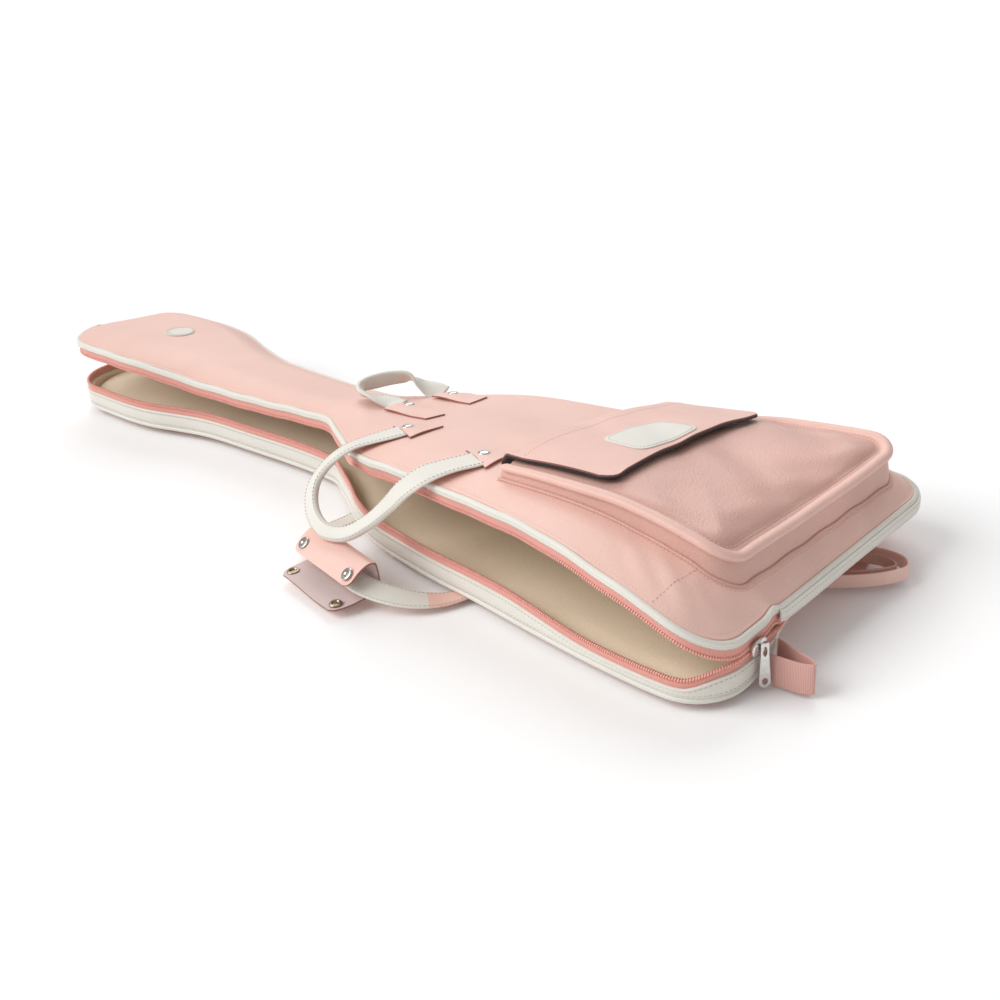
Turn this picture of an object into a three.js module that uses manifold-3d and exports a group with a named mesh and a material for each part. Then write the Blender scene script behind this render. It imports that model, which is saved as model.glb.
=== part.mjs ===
// A padded gig bag for a long-scale electric bass, lying on its back with its zip run open.
// Millimetres. +X runs from the head end to the tail end, -Y is the zip side, +Z is up.
import * as THREE from 'three';
import { ParametricGeometry } from 'three/addons/geometries/ParametricGeometry.js';
import { mergeVertices } from 'three/addons/utils/BufferGeometryUtils.js';
import Module from 'manifold-3d';

const wasm = await Module();
wasm.setup();

// ---------------------------------------------------------------- driving dimensions
const GAP = 0.3;                          // clearance between pieces that touch

const HEAD_END = -580;                    // outline of the bag, seen from above
const TAIL_END = 593;
const HEAD_HALF_WIDTH = 97;
const TAIL_HALF_WIDTH = 203;
const HEAD_CORNER = 60;
const TAIL_CORNER = 50;

const FLOOR_TO_BACK = 8;                  // the shoulder straps hold the back panel off the floor
const SKIN = 2.5;
const BACK_FOAM = 11;
const LINING = 1.7;
const PIPING_RADIUS = 3.2;
const PANEL_INSET = PIPING_RADIUS + GAP;  // panel edge to piping centre line
const GUSSET_THICKNESS = 3.6;
const GUSSET_TOP = 33;
const TAPE_THICKNESS = 1.4;
const TAPE_TOP = 40;
const COIL_RADIUS = 2.2;
const LID_TAPE_DROP = 12.8;               // lid piping down to the lower edge of its zip tape
const LID_EDGE = 3;                       // half the thickness of the lid at its bound edge

const HINGE_FROM = 60;                    // the sewn side of the body, which the lid folds on
const HINGE_TO = TAIL_END - TAIL_CORNER;
const HINGE_HEIGHT = 37;

const HANDLE_WIDTH = 36;                  // flat at its ends, folded to a narrow grip between
const GRIP_WIDTH = 22;
const HANDLE_THICKNESS = 4;
const GRIP_THICKNESS = 9;
const TAB_THICKNESS = 2.2;
const RIVET_RADIUS = 6.5;
const RIVET_HEIGHT = 2.6;

const POCKET_FROM = 303;                  // mouth of the pocket, under its flap
const POCKET_TO = 570;
const POCKET_NEAR = -138;
const POCKET_FAR = 174;
const POCKET_WALL = 2.4;
const POCKET_EDGE_AT_MOUTH = 7;           // height of the pocket's rolled border
const POCKET_EDGE_AT_TAIL = 22;
const POCKET_FULLNESS = 8;                // further rise of its front towards the middle
const FLAP_THICKNESS = 2.4;
const FLAP_FROM = 290;
const FLAP_TO = 424;
const FLAP_NEAR = -122;
const FLAP_FAR = 155;

const SLIDER_Y = -134;
const PULL_LENGTH = 44;
const CENTRE = [31.7, -38];               // middle of the outline with everything laid out

// ---------------------------------------------------------------- materials
const LEATHER = { color: 0xf0cfc6, roughness: 0.55, metalness: 0 };
const CREAM = { color: 0xe9e4da, roughness: 0.6, metalness: 0 };
const ZIP_PINK = { color: 0xf19a90, roughness: 0.75, metalness: 0 };
const BEIGE = { color: 0xbfae93, roughness: 0.9, metalness: 0 };
const BLACK = { color: 0x1b1a1c, roughness: 0.9, metalness: 0 };
const FOAM = { color: 0xd9d4c8, roughness: 0.95, metalness: 0 };
const NICKEL = { color: 0xc9c9c6, roughness: 0.25, metalness: 1 };
const BRASS = { color: 0xb79a62, roughness: 0.3, metalness: 1 };
const SUEDE = { color: 0xcbaea8, roughness: 0.95, metalness: 0 };
const WEBBING = { color: 0xe2a79d, roughness: 0.85, metalness: 0 };

// ---------------------------------------------------------------- shape helpers
const bag = new THREE.Group();

// A smooth curve through hand-set samples.
function smoothThrough(positions, values) {
  const curve = new THREE.CubicInterpolant(positions, values, 1);
  const first = positions[0];
  const last = positions[positions.length - 1];
  return (x) => curve.evaluate(Math.min(Math.max(x, first), last))[0];
}

// Merges shared vertices, drops empty triangles and turns the faces outwards.
function closedBody(geometry) {
  const bare = geometry.clone();
  for (const name of Object.keys(bare.attributes)) {
    if (name !== 'position') bare.deleteAttribute(name);
  }
  const merged = mergeVertices(bare, 1e-3);
  const position = merged.getAttribute('position');
  const index = [...merged.index.array];
  const kept = [];
  const corner = [new THREE.Vector3(), new THREE.Vector3(), new THREE.Vector3()];
  let volume = 0;
  for (let i = 0; i < index.length; i += 3) {
    const [a, b, c] = index.slice(i, i + 3);
    if (a === b || b === c || c === a) continue;
    kept.push(a, b, c);
    corner[0].fromBufferAttribute(position, a);
    corner[1].fromBufferAttribute(position, b);
    corner[2].fromBufferAttribute(position, c);
    volume += corner[0].dot(corner[1].cross(corner[2]));
  }
  if (volume < 0) {
    for (let i = 0; i < kept.length; i += 3) [kept[i], kept[i + 1]] = [kept[i + 1], kept[i]];
  }
  merged.setIndex(kept);
  merged.computeVertexNormals();
  return merged;
}

function add(name, geometry, look) {
  const mesh = new THREE.Mesh(closedBody(geometry), new THREE.MeshStandardMaterial(look));
  mesh.name = name;
  bag.add(mesh);
  return mesh;
}

// A closed body swept through a list of sections, each a ring of points.
function sweep(sections, isRing = false) {
  const sides = sections[0].length;
  const rows = [...sections];
  if (isRing) {
    rows.push(sections[0]);
  } else {
    const middle = (ring) => {
      const centre = new THREE.Vector3();
      ring.forEach((p) => centre.addScaledVector(p, 1 / sides));
      return ring.map(() => centre);
    };
    rows.unshift(middle(sections[0]));
    rows.push(middle(sections[sections.length - 1]));
  }
  const surface = (u, v, target) => {
    const row = rows[Math.round(v * (rows.length - 1))];
    target.copy(row[Math.round(u * sides) % sides]);
  };
  return new ParametricGeometry(surface, sides, rows.length - 1);
}

// A closed sheet over a patch of ground: place(s, t) gives x and y, top and bottom give z.
function sheet(place, top, bottom, alongCount, acrossCount) {
  const sections = [];
  for (let i = 0; i <= alongCount; i++) {
    const upper = [];
    const lower = [];
    for (let j = 0; j <= acrossCount; j++) {
      const [x, y] = place(i / alongCount, -1 + (2 * j) / acrossCount);
      upper.push(new THREE.Vector3(x, y, top(x, y)));
      lower.unshift(new THREE.Vector3(x, y, bottom(x, y)));
    }
    sections.push([...upper, ...lower]);
  }
  const fold = (ring) => ring.map((p, i) => p.clone().lerp(ring[ring.length - 1 - i], 0.5));
  const rows = [fold(sections[0]), ...sections, fold(sections[sections.length - 1])];
  const sides = rows[0].length;
  const surface = (u, v, target) => {
    target.copy(rows[Math.round(v * (rows.length - 1))][Math.round(u * sides) % sides]);
  };
  return new ParametricGeometry(surface, sides, rows.length - 1);
}

// A strap along a smooth route. Each stop is [x, y, z, and the direction of its width]. Its
// section goes over from `flat` at the ends to `grip` in the middle, both [width, thickness].
function strap(stops, flat, grip, steps) {
  const route = new THREE.CatmullRomCurve3(stops.map((s) => new THREE.Vector3(s[0], s[1], s[2])));
  const widths = new THREE.CatmullRomCurve3(stops.map((s) => new THREE.Vector3(s[3], s[4], s[5])));
  const sections = [];
  for (let i = 0; i <= steps; i++) {
    const share = THREE.MathUtils.smoothstep(Math.min(i, steps - i) / steps, 0.12, 0.36);
    const width = THREE.MathUtils.lerp(flat[0], grip[0], share);
    const thickness = THREE.MathUtils.lerp(flat[1], grip[1], share);
    const point = route.getPoint(i / steps);
    const along = route.getTangent(i / steps);
    const side = widths.getPoint(i / steps);
    side.addScaledVector(along, -side.dot(along)).normalize();
    const face = new THREE.Vector3().crossVectors(along, side);
    const ring = [[-1, 0], [-0.7, -1], [0.7, -1], [1, 0], [0.7, 1], [-0.7, 1]];
    sections.push(ring.map(([a, b]) => point.clone()
      .addScaledVector(side, (a * width) / 2)
      .addScaledVector(face, (b * thickness) / 2)));
  }
  return sweep(sections);
}

// The same patch of ground without its outer `cut` rows, so that stacked sheets share corners.
function innerPart(place, along, across, cut) {
  return (s, t) => place((cut + s * (along - 2 * cut)) / along, (t * (across - 2 * cut)) / across);
}

function manifoldOf(geometry) {
  const body = closedBody(geometry);
  return new wasm.Manifold(new wasm.Mesh({
    numProp: 3,
    vertProperties: new Float32Array(body.getAttribute('position').array),
    triVerts: new Uint32Array(body.index.array),
  }));
}

function cutAway(from, ...tools) {
  let result = manifoldOf(from);
  for (const tool of tools) result = result.subtract(manifoldOf(tool));
  const mesh = result.getMesh();
  const geometry = new THREE.BufferGeometry();
  geometry.setAttribute('position', new THREE.BufferAttribute(mesh.vertProperties, 3));
  geometry.setIndex(new THREE.BufferAttribute(mesh.triVerts, 1));
  return geometry;
}

// ---------------------------------------------------------------- outline seen from above
const sideWidth = smoothThrough(
  [-520, -430, -395, -350, -315, -285, -230, -60, -34, -16, 2, 30, 62, 92, 122, 168, 225, 300,
    380, 450, 520, 543],
  [97, 97, 93, 82, 74, 70, 68, 68, 73, 83, 93, 109, 129, 143, 153, 162, 171, 179,
    190, 198, 203, 203]);

// Half the width of the bag at x, for an outline set in by `inset`.
function halfWidth(x, inset = 0) {
  const headCentre = HEAD_END + HEAD_CORNER;
  const tailCentre = TAIL_END - TAIL_CORNER;
  const corner = (past, radius) => Math.sqrt(Math.max(radius * radius - past * past, 0));
  if (x < headCentre) {
    return HEAD_HALF_WIDTH - HEAD_CORNER + corner(headCentre - x, HEAD_CORNER - inset);
  }
  if (x > tailCentre) {
    return TAIL_HALF_WIDTH - TAIL_CORNER + corner(x - tailCentre, TAIL_CORNER - inset);
  }
  const slope = (sideWidth(x + 2) - sideWidth(x - 2)) / 4;
  return sideWidth(x) - inset * Math.sqrt(1 + slope * slope);
}

// Stations along one side, closer together round the corners and the shoulder.
function sideStations(inset) {
  const xs = [];
  const quarter = 4;
  for (let i = 0; i < quarter; i++) {
    const turn = (Math.PI / 2) * (i / quarter);
    xs.push(HEAD_END + HEAD_CORNER - (HEAD_CORNER - inset) * Math.cos(turn));
  }
  const plain = [-520, -430, -395, -350, -310, -260, -160, -60, -38, -16, 2, 24, 42, 60, 90, 125,
    170, 225, 300, 380, 450, 505];
  xs.push(...plain);
  for (let i = 0; i <= quarter; i++) {
    const turn = (Math.PI / 2) * (i / quarter);
    xs.push(TAIL_END - TAIL_CORNER + (TAIL_CORNER - inset) * Math.sin(turn));
  }
  return xs;
}

// The rim of the bag as points with their outward normals, in order from the far shoulder round
// the head, the zip side and the tail to the far tail corner, then back along the sewn side.
function rimPoints(inset, from = 'zip') {
  const xs = sideStations(inset);
  const end = xs.length - 1;
  const far = (x) => new THREE.Vector2(x, halfWidth(x, inset));
  const near = (x) => new THREE.Vector2(x, -halfWidth(x, inset));
  const zip = xs.filter((x) => x <= HINGE_FROM).reverse().map(far);
  for (const t of [0.33, -0.33]) zip.push(new THREE.Vector2(xs[0], t * halfWidth(xs[0], inset)));
  zip.push(...xs.map(near));
  for (const t of [-0.8, -0.64, -0.45, 0, 0.5]) {
    zip.push(new THREE.Vector2(xs[end], t * halfWidth(xs[end], inset)));
  }
  zip.push(...xs.filter((x) => x >= HINGE_TO).reverse().map(far));
  const sewn = xs.filter((x) => x > HINGE_FROM && x < HINGE_TO).reverse().map(far);
  const all = [...zip, ...sewn];
  const marked = all.map((point, i) => {
    const before = all[(i + all.length - 1) % all.length];
    const after = all[(i + 1) % all.length];
    const along = after.clone().sub(before).normalize();
    const outward = new THREE.Vector2(along.y, -along.x);
    const tOf = point.y / halfWidth(point.x, inset);
    return { point, outward, t: Math.min(Math.max(tOf, -1), 1) };
  });
  if (from === 'zip') return marked.slice(0, zip.length);
  if (from === 'sewn') return [marked[zip.length - 1], ...marked.slice(zip.length), marked[0]];
  return marked;
}

// ---------------------------------------------------------------- height of the lid
const nearEdge = smoothThrough(
  [-580, -520, -400, -350, -315, -280, -180, -100, -45, 25, 60, 92, 122, 168, 225, 300, 380, 435,
    480, 520, 552, 575, 593],
  [103, 104, 101, 93, 86, 84, 85, 89, 93, 95, 101, 109, 114, 119, 123, 125, 125, 120,
    110, 99, 87, 74, 63]);
const farEdge = smoothThrough([-580, -430, -350, -280, 60, 300, 593], [80, 80, 71, 66, 65, 65, 63]);

// Height of the lid's bound edge line carried across the lid, with t from -1 near to 1 far.
function edgeHeight(x, t) {
  const share = (t + 1) / 2;
  return nearEdge(x) * (1 - share) + farEdge(x) * share;
}

function roll(distance, reach) {
  const q = Math.min(Math.max(distance / reach, 0), 1);
  return 1 - (1 - q) * (1 - q);
}

// The lid rises above its bound edge: slowly from the zip side, steeply from the far side.
const NEAR_ROLL = 100;
const FAR_ROLL = 34;
const crown = smoothThrough([-580, -430, -300, -60, 60, 200, 593], [13, 13, 11, 11, 15, 19, 20]);

function lidTop(x, y) {
  const half = halfWidth(Math.min(Math.max(x, HEAD_END), TAIL_END), PANEL_INSET);
  const t = Math.min(Math.max(y / half, -1), 1);
  const sides = roll(half - Math.abs(y), Math.min(y < 0 ? NEAR_ROLL : FAR_ROLL, 0.7 * half));
  const ends = roll(TAIL_END - PANEL_INSET - x, 55) * roll(x - HEAD_END - PANEL_INSET, 30);
  return edgeHeight(x, t) + LID_EDGE + crown(x) * sides * ends;
}

function lidBottom(x, y) {
  const t = y / halfWidth(x, PANEL_INSET);
  return edgeHeight(x, Math.min(Math.max(t, -1), 1)) - LID_EDGE;
}

// Turns a piece so that its own +Z follows the lid's surface at (x, y).
function standOnLid(mesh, x, y, above) {
  const step = 2;
  const slopeX = (lidTop(x + step, y) - lidTop(x - step, y)) / (2 * step);
  const slopeY = (lidTop(x, y + step) - lidTop(x, y - step)) / (2 * step);
  const normal = new THREE.Vector3(-slopeX, -slopeY, 1).normalize();
  mesh.quaternion.setFromUnitVectors(new THREE.Vector3(0, 0, 1), normal);
  mesh.position.set(x, y, lidTop(x, y)).addScaledVector(normal, above);
}

function domedCap(radius, height) {
  const profile = [new THREE.Vector2(0, 0), new THREE.Vector2(radius, 0)];
  const steps = 3;
  for (let i = 1; i <= steps; i++) {
    const turn = (Math.PI / 2) * (i / steps);
    profile.push(new THREE.Vector2(i === steps ? 0 : radius * Math.cos(turn),
      0.6 + (height - 0.6) * Math.sin(turn)));
  }
  return new THREE.LatheGeometry(profile, 12).rotateX(Math.PI / 2);
}

// ---------------------------------------------------------------- back shell
// The back panel turns up towards the tail, except at the near corner, where the open zip lets
// it lie flat.
const TAIL_LIFT = 22;
function backLift(x, y) {
  return TAIL_LIFT * THREE.MathUtils.smoothstep(x, 470, TAIL_END)
    * THREE.MathUtils.smoothstep(y, -145, -50);
}

// Every second layer runs the other way, so that the facets of stacked layers match.
function backSheet(low, high, reversed = false) {
  const stations = sideStations(PANEL_INSET);
  const place = (s, t) => {
    const x = stations[Math.round((reversed ? 1 - s : s) * (stations.length - 1))];
    return [x, Math.sin((Math.PI / 2) * t) * halfWidth(x, PANEL_INSET)];
  };
  return sheet(place, (x, y) => high(backLift(x, y)), (x, y) => low(backLift(x, y)),
    stations.length - 1, 6);
}

// A band or tube that follows the rim: ring(rim) lists its section as [outwards, height] pairs.
function alongRim(inset, part, ring) {
  const sections = rimPoints(inset, part).map((rim) => ring(rim).map(([out, z]) => new THREE.Vector3(
    rim.point.x + rim.outward.x * out, rim.point.y + rim.outward.y * out, z)));
  return sweep(sections, part === 'all');
}

function roundSection(radius, height, sides = 5) {
  const ring = [];
  for (let i = 0; i < sides; i++) {
    const turn = (2 * Math.PI * i) / sides;
    ring.push([radius * Math.cos(turn), height + radius * Math.sin(turn)]);
  }
  return ring;
}

function bandSection(thickness, low, high) {
  return [[-thickness / 2, low], [thickness / 2, low], [thickness / 2, high], [-thickness / 2, high]];
}

const backSkinTop = FLOOR_TO_BACK + SKIN;
const foamTop = (lift) => backSkinTop + GAP + BACK_FOAM + 0.65 * lift;
add('back_panel', backSheet((lift) => FLOOR_TO_BACK + lift, (lift) => backSkinTop + lift), LEATHER);
add('back_foam', backSheet((lift) => backSkinTop + GAP + lift, foamTop, true), FOAM);
add('back_lining', backSheet((lift) => foamTop(lift) + GAP, (lift) => foamTop(lift) + GAP + LINING),
  BEIGE);

// The wall round the back: piping, cream gusset, then the zip tape and its coil. The open wall
// sags between the body and the near tail corner.
const WALL_SAG = 11;
const liftAt = (rim) => backLift(rim.point.x, rim.point.y);
const pipingHeight = (rim) => FLOOR_TO_BACK + PIPING_RADIUS + liftAt(rim);
function wallSag(rim) {
  if (rim.t > -0.99) return 0;
  const along = rim.point.x;
  return WALL_SAG * THREE.MathUtils.smoothstep(along, 330, 470)
    * (1 - THREE.MathUtils.smoothstep(along, 560, TAIL_END));
}
const gussetFoot = (rim) => pipingHeight(rim) + PIPING_RADIUS + GAP;
const gussetTop = (rim) => Math.max(GUSSET_TOP, gussetFoot(rim) + 1.5) - wallSag(rim);
const tapeTop = (rim) => TAPE_TOP - wallSag(rim);
const backCoilHeight = (rim) => tapeTop(rim) + GAP + COIL_RADIUS;
add('back_piping', alongRim(0, 'all', (rim) => roundSection(PIPING_RADIUS, pipingHeight(rim))), CREAM);
add('back_gusset', alongRim(0, 'all',
  (rim) => bandSection(GUSSET_THICKNESS, gussetFoot(rim), gussetTop(rim))), CREAM);
add('zip_tape_back', alongRim(0, 'zip',
  (rim) => bandSection(TAPE_THICKNESS, gussetTop(rim) + GAP, tapeTop(rim))), ZIP_PINK);
add('zip_coil_back', alongRim(0, 'zip',
  (rim) => roundSection(COIL_RADIUS, backCoilHeight(rim), 4)), ZIP_PINK);
add('hinge_gusset_back', alongRim(0, 'sewn',
  (rim) => bandSection(TAPE_THICKNESS, gussetTop(rim) + GAP,
    Math.max(HINGE_HEIGHT, gussetTop(rim) + GAP + 1))), CREAM);

// ---------------------------------------------------------------- lid
const lidStations = sideStations(PANEL_INSET);
const lidAlong = lidStations.length - 1;
const lidAcross = 8;
function onLid(s, t) {
  const x = lidStations[Math.round(s * lidAlong)];
  return [x, Math.sin((Math.PI / 2) * t) * halfWidth(x, PANEL_INSET)];
}
// The foam stops short of the bound edge and runs the other way, so that its facets match.
const onLidFoam = innerPart((s, t) => onLid(1 - s, t), lidAlong, lidAcross, 1);
const foamUnder = (x, y) => lidBottom(x, y) + LINING + GAP;
const skinUnder = (x, y) => Math.max(lidTop(x, y) - SKIN, foamUnder(x, y) + 1 + GAP);
add('lid_panel', sheet(onLid, lidTop, skinUnder, lidAlong, lidAcross), LEATHER);
add('lid_foam', sheet(onLidFoam, (x, y) => skinUnder(x, y) - GAP, foamUnder,
  lidAlong - 2, lidAcross - 2), FOAM);
add('lid_lining', sheet(onLid, (x, y) => lidBottom(x, y) + LINING, lidBottom, lidAlong, lidAcross),
  BEIGE);

const rimHeight = (rim) => edgeHeight(rim.point.x, rim.t);
const tapeLow = (rim) => rimHeight(rim) - LID_TAPE_DROP;
const tapeHigh = (rim) => rimHeight(rim) - PIPING_RADIUS - GAP;
add('lid_piping', alongRim(0, 'all', (rim) => roundSection(PIPING_RADIUS, rimHeight(rim))), CREAM);
add('zip_tape_lid', alongRim(0, 'zip',
  (rim) => bandSection(TAPE_THICKNESS, tapeLow(rim), tapeHigh(rim))), ZIP_PINK);
add('zip_coil_lid', alongRim(0, 'zip',
  (rim) => roundSection(COIL_RADIUS, tapeLow(rim) - GAP - COIL_RADIUS, 4)), ZIP_PINK);
add('hinge_gusset_lid', alongRim(0, 'sewn',
  (rim) => bandSection(TAPE_THICKNESS, HINGE_HEIGHT + 0.6, tapeHigh(rim))), CREAM);

// Cover over the closed zip round the tail, sewn under the lid's piping.
const COVER_LOW = 44;
const COVER_FROM_Y = -99;
const coverRim = rimPoints(0, 'zip').filter((rim) => rim.point.x > HINGE_TO && rim.point.y > COVER_FROM_Y);
add('tail_cover', sweep(coverRim.map((rim) => {
  const high = rimHeight(rim) - PIPING_RADIUS + 1;
  const ring = [[3.6, COVER_LOW], [5.2, COVER_LOW], [5.2, high], [3.6, high]];
  return ring.map(([out, z]) => new THREE.Vector3(
    rim.point.x + rim.outward.x * out, rim.point.y + rim.outward.y * out, z));
})), CREAM);

// Near-round oval badge on the head of the lid.
const BADGE = { x: -437, y: 4, halfLength: 19, halfWidth: 20, thickness: 1.4 };
add('head_badge', sheet((s, t) => {
  const turn = Math.PI * s;
  return [BADGE.x - BADGE.halfLength * Math.cos(turn),
    BADGE.y + t * BADGE.halfWidth * Math.sin(turn)];
}, (x, y) => lidTop(x, y) + GAP + BADGE.thickness, (x, y) => lidTop(x, y) + GAP, 10, 4), CREAM);

// ---------------------------------------------------------------- pocket
// Height of the pocket's front above the lid: a rolled border, then a slow rise to the middle.
const POCKET_ROLL = 13;
const POCKET_SPREAD = 110;
function pocketRise(x, y) {
  const side = Math.min(y - POCKET_NEAR, POCKET_FAR - y);
  const tail = POCKET_TO - x;
  const along = THREE.MathUtils.smoothstep(x, POCKET_FROM, POCKET_TO);
  const border = THREE.MathUtils.lerp(POCKET_EDGE_AT_MOUTH, POCKET_EDGE_AT_TAIL, along);
  return border * roll(side, POCKET_ROLL) * roll(tail, POCKET_ROLL)
    + POCKET_FULLNESS * roll(side, POCKET_SPREAD) * roll(tail, POCKET_SPREAD);
}
const pocketMiddle = (POCKET_FAR + POCKET_NEAR) / 2;
const pocketHalf = (POCKET_FAR - POCKET_NEAR) / 2;
const ON_LID = 1.2;                       // clearance of wide pieces that follow the lid's curve
const pocketFoot = (x, y) => lidTop(x, y) + ON_LID;
const pocketTop = (x, y) => pocketFoot(x, y) + POCKET_WALL + pocketRise(x, y);
function onPocket(s, t) {
  const x = POCKET_FROM + (POCKET_TO - POCKET_FROM) * Math.sin((Math.PI / 2) * s);
  return [x, pocketMiddle + pocketHalf * Math.sin((Math.PI / 2) * t)];
}
// The room inside runs out through the mouth at the head side.
const ROOM_INSET = 16;
const roomFrom = POCKET_FROM - 10;
const roomTop = (x, y) => pocketTop(x, y) - POCKET_WALL;
const roomFloor = (x, y) => pocketFoot(x, y) + 2.2;
function inPocket(s, t) {
  const x = roomFrom + (POCKET_TO - ROOM_INSET - roomFrom) * Math.sin((Math.PI / 2) * s);
  return [x, pocketMiddle + (pocketHalf - ROOM_INSET) * t];
}
const pocketRoom = sheet(inPocket, roomTop, roomFloor, 9, 8);
add('pocket', cutAway(sheet(onPocket, pocketTop, pocketFoot, 11, 10), pocketRoom), LEATHER);
add('pocket_lining', sheet(innerPart(inPocket, 9, 8, 1), (x, y) => roomFloor(x, y) + GAP + 1,
  (x, y) => roomFloor(x, y) + GAP, 7, 6), BLACK);

// Flap over the mouth: it is sewn along its head side and lies on the pocket's front.
const FLAP_CLEARANCE = 1.6;
const FLAP_CLIMB = 10;                    // length over which it rises from the lid to the pocket
const FLAP_DRAPE = 5;
const FLAP_LINING = 1.2;
const FLAP_SKEW = 5;                      // its free edge runs a little askew
function flapFoot(x, y) {
  const climb = roll(x - FLAP_FROM, FLAP_CLIMB);
  const over = pocketTop(Math.max(x, POCKET_FROM), y) - lidTop(Math.max(x, POCKET_FROM), y);
  const spring = FLAP_DRAPE * roll(x - FLAP_FROM - 12, 90);
  return lidTop(x, y) + GAP + climb * (over + FLAP_CLEARANCE + spring);
}
function onFlap(s, t) {
  const x = FLAP_FROM + (FLAP_TO - FLAP_FROM) * s;
  return [x - FLAP_SKEW * s * t, (FLAP_FAR + FLAP_NEAR) / 2 + ((FLAP_FAR - FLAP_NEAR) / 2) * t];
}
const flapSkin = (x, y) => flapFoot(x, y) + FLAP_LINING + GAP;
add('pocket_flap', sheet((s, t) => onFlap(1 - s, t), (x, y) => flapSkin(x, y) + FLAP_THICKNESS,
  flapSkin, 12, 8), LEATHER);
add('flap_lining', sheet(onFlap, (x, y) => flapFoot(x, y) + FLAP_LINING, flapFoot, 12, 8), BLACK);

// Plain rounded patch on the flap.
const PATCH = { x: 384, y: -4, halfLength: 28, halfWidth: 44, corner: 4, thickness: 1.4 };
const patchFoot = (x, y) => flapSkin(x, y) + FLAP_THICKNESS + 2 * GAP;
add('flap_patch', sheet((s, t) => {
  const across = Math.sin(Math.PI * (s - 0.5));
  const share = Math.pow(1 - Math.pow(Math.abs(across), PATCH.corner), 1 / PATCH.corner);
  return [PATCH.x + PATCH.halfLength * across, PATCH.y + PATCH.halfWidth * share * t];
}, (x, y) => patchFoot(x, y) + PATCH.thickness, patchFoot, 12, 4), CREAM);

// ---------------------------------------------------------------- handles on the lid
// Each end of a handle is held under a pink tab with one rivet through it.
function handleTab(name, rivetAt, corners) {
  const [a, b, c, d] = corners.map(([x, y]) => new THREE.Vector2(x, y));
  const place = (s, t) => {
    const low = a.clone().lerp(b, s);
    const high = d.clone().lerp(c, s);
    return low.lerp(high, (t + 1) / 2).toArray();
  };
  const foot = (x, y) => lidTop(x, y) + 1.5 * GAP;
  add(`${name}_tab`, sheet(place, (x, y) => foot(x, y) + TAB_THICKNESS, foot, 4, 4), LEATHER);
  const rivet = add(`${name}_rivet`, domedCap(RIVET_RADIUS, RIVET_HEIGHT), NICKEL);
  standOnLid(rivet, rivetAt[0], rivetAt[1], 1.5 * GAP + TAB_THICKNESS + 0.5);
}
handleTab('near_handle_head', [110, -81], [[85, -80], [138, -104], [138, -53], [95, -66]]);
handleTab('near_handle_tail', [252, -108], [[227, -109], [275, -131], [274, -75], [238, -93]]);
handleTab('far_handle_head', [27, 0], [[8, -24], [94, -38], [99, -12], [12, 22]]);
handleTab('far_handle_tail', [33, 68], [[14, 50], [85, 43], [78, 81], [18, 84]]);

// The near handle hangs out over the open side; the far one stands on the lid in a loop.
const onTop = (x, y, lift, ...width) => [x, y, lidTop(x, y) + lift, ...width];
const flatEnd = [HANDLE_WIDTH, HANDLE_THICKNESS];
const grip = [GRIP_WIDTH, GRIP_THICKNESS];
const nearHandle = [
  onTop(108, -102, 5, 0.9, -0.4, 0.1),
  onTop(95, -122, 6.5, 0.87, -0.49, 0.15),
  [82, -146, 116, 0.9, -0.3, 0.25],
  [72, -170, 103, 0.9, -0.1, 0.4],
  [72, -192, 87, 0.75, 0.2, 0.6],
  [88, -211, 69, 0.3, 0.5, 0.8],
  [117, -222, 59, -0.1, 0.6, 0.8],
  [146, -218, 61, -0.5, 0.6, 0.6],
  [172, -206, 77, -0.75, 0.5, 0.45],
  [196, -197, 100, -0.85, 0.35, 0.35],
  [215, -189, 121, -0.9, 0.4, 0.2],
  [230, -172, 134, -0.9, 0.4, 0.1],
  onTop(241, -150, 8, -0.92, 0.38, 0),
  onTop(252, -127, 5, -0.93, 0.35, 0),
];
add('near_handle', strap(nearHandle, flatEnd, grip, 36), CREAM);

const farHandle = [
  onTop(3, -4, 7.2, -0.2, -0.95, 0),
  onTop(-16, -12, 10.5, -0.1, -0.95, 0.3),
  [-38, -15, 109, 0.2, -0.7, 0.75],
  [-50, -4, 111, 0.4, -0.2, 0.95],
  [-44, 14, 112, 0.1, 0.1, 1],
  [-34, 33, 112, 0.1, -0.2, 1],
  [-22, 48, 110, 0.1, -0.7, 0.8],
  onTop(-10, 58, 17, 0.1, -0.9, 0.2),
  onTop(8, 64, 9.5, 0.1, -1, -0.4),
];
add('far_handle', strap(farHandle, [26, HANDLE_THICKNESS], [19, 6], 28), CREAM);

// ---------------------------------------------------------------- handle on the back, with its wrap
// It is riveted under the back panel and lies out beside the bag on the floor.
const UNDER_BACK = 5.9;
const WRAP_TURN = -0.21;
const WRAP = { x: 140, y: -230, z: 25, halfLength: 58, thickness: 2.2 };
const wrapAlong = new THREE.Vector2(Math.cos(WRAP_TURN), Math.sin(WRAP_TURN));
const wrapPoint = (u, v) => [WRAP.x + wrapAlong.x * u + wrapAlong.y * v,
  WRAP.y + wrapAlong.y * u - wrapAlong.x * v];
const inWrap = (u) => [...wrapPoint(u, 0), WRAP.z, wrapAlong.y, -wrapAlong.x, -0.4];
const backHandle = [
  [268, -121, UNDER_BACK, 1, 0, 0],
  [269, -150, UNDER_BACK, 1, 0, 0],
  [265, -180, UNDER_BACK + 0.6, 0.95, -0.3, 0],
  [256, -201, 9.5, 0.6, -0.8, -0.1],
  [239, -220, 14, 0.2, -0.95, -0.2],
  [216, -234, 20, -0.1, -0.95, -0.3],
  inWrap(52), inWrap(26), inWrap(0), inWrap(-26), inWrap(-52),
  [66, -206, 21, -0.4, -0.85, -0.35],
  [48, -182, 14, -0.8, -0.6, -0.2],
  [41, -150, 8, -0.95, -0.2, 0],
  [41, -120, UNDER_BACK, -1, 0, 0],
  [41, -103, UNDER_BACK, -1, 0, 0],
];
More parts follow.
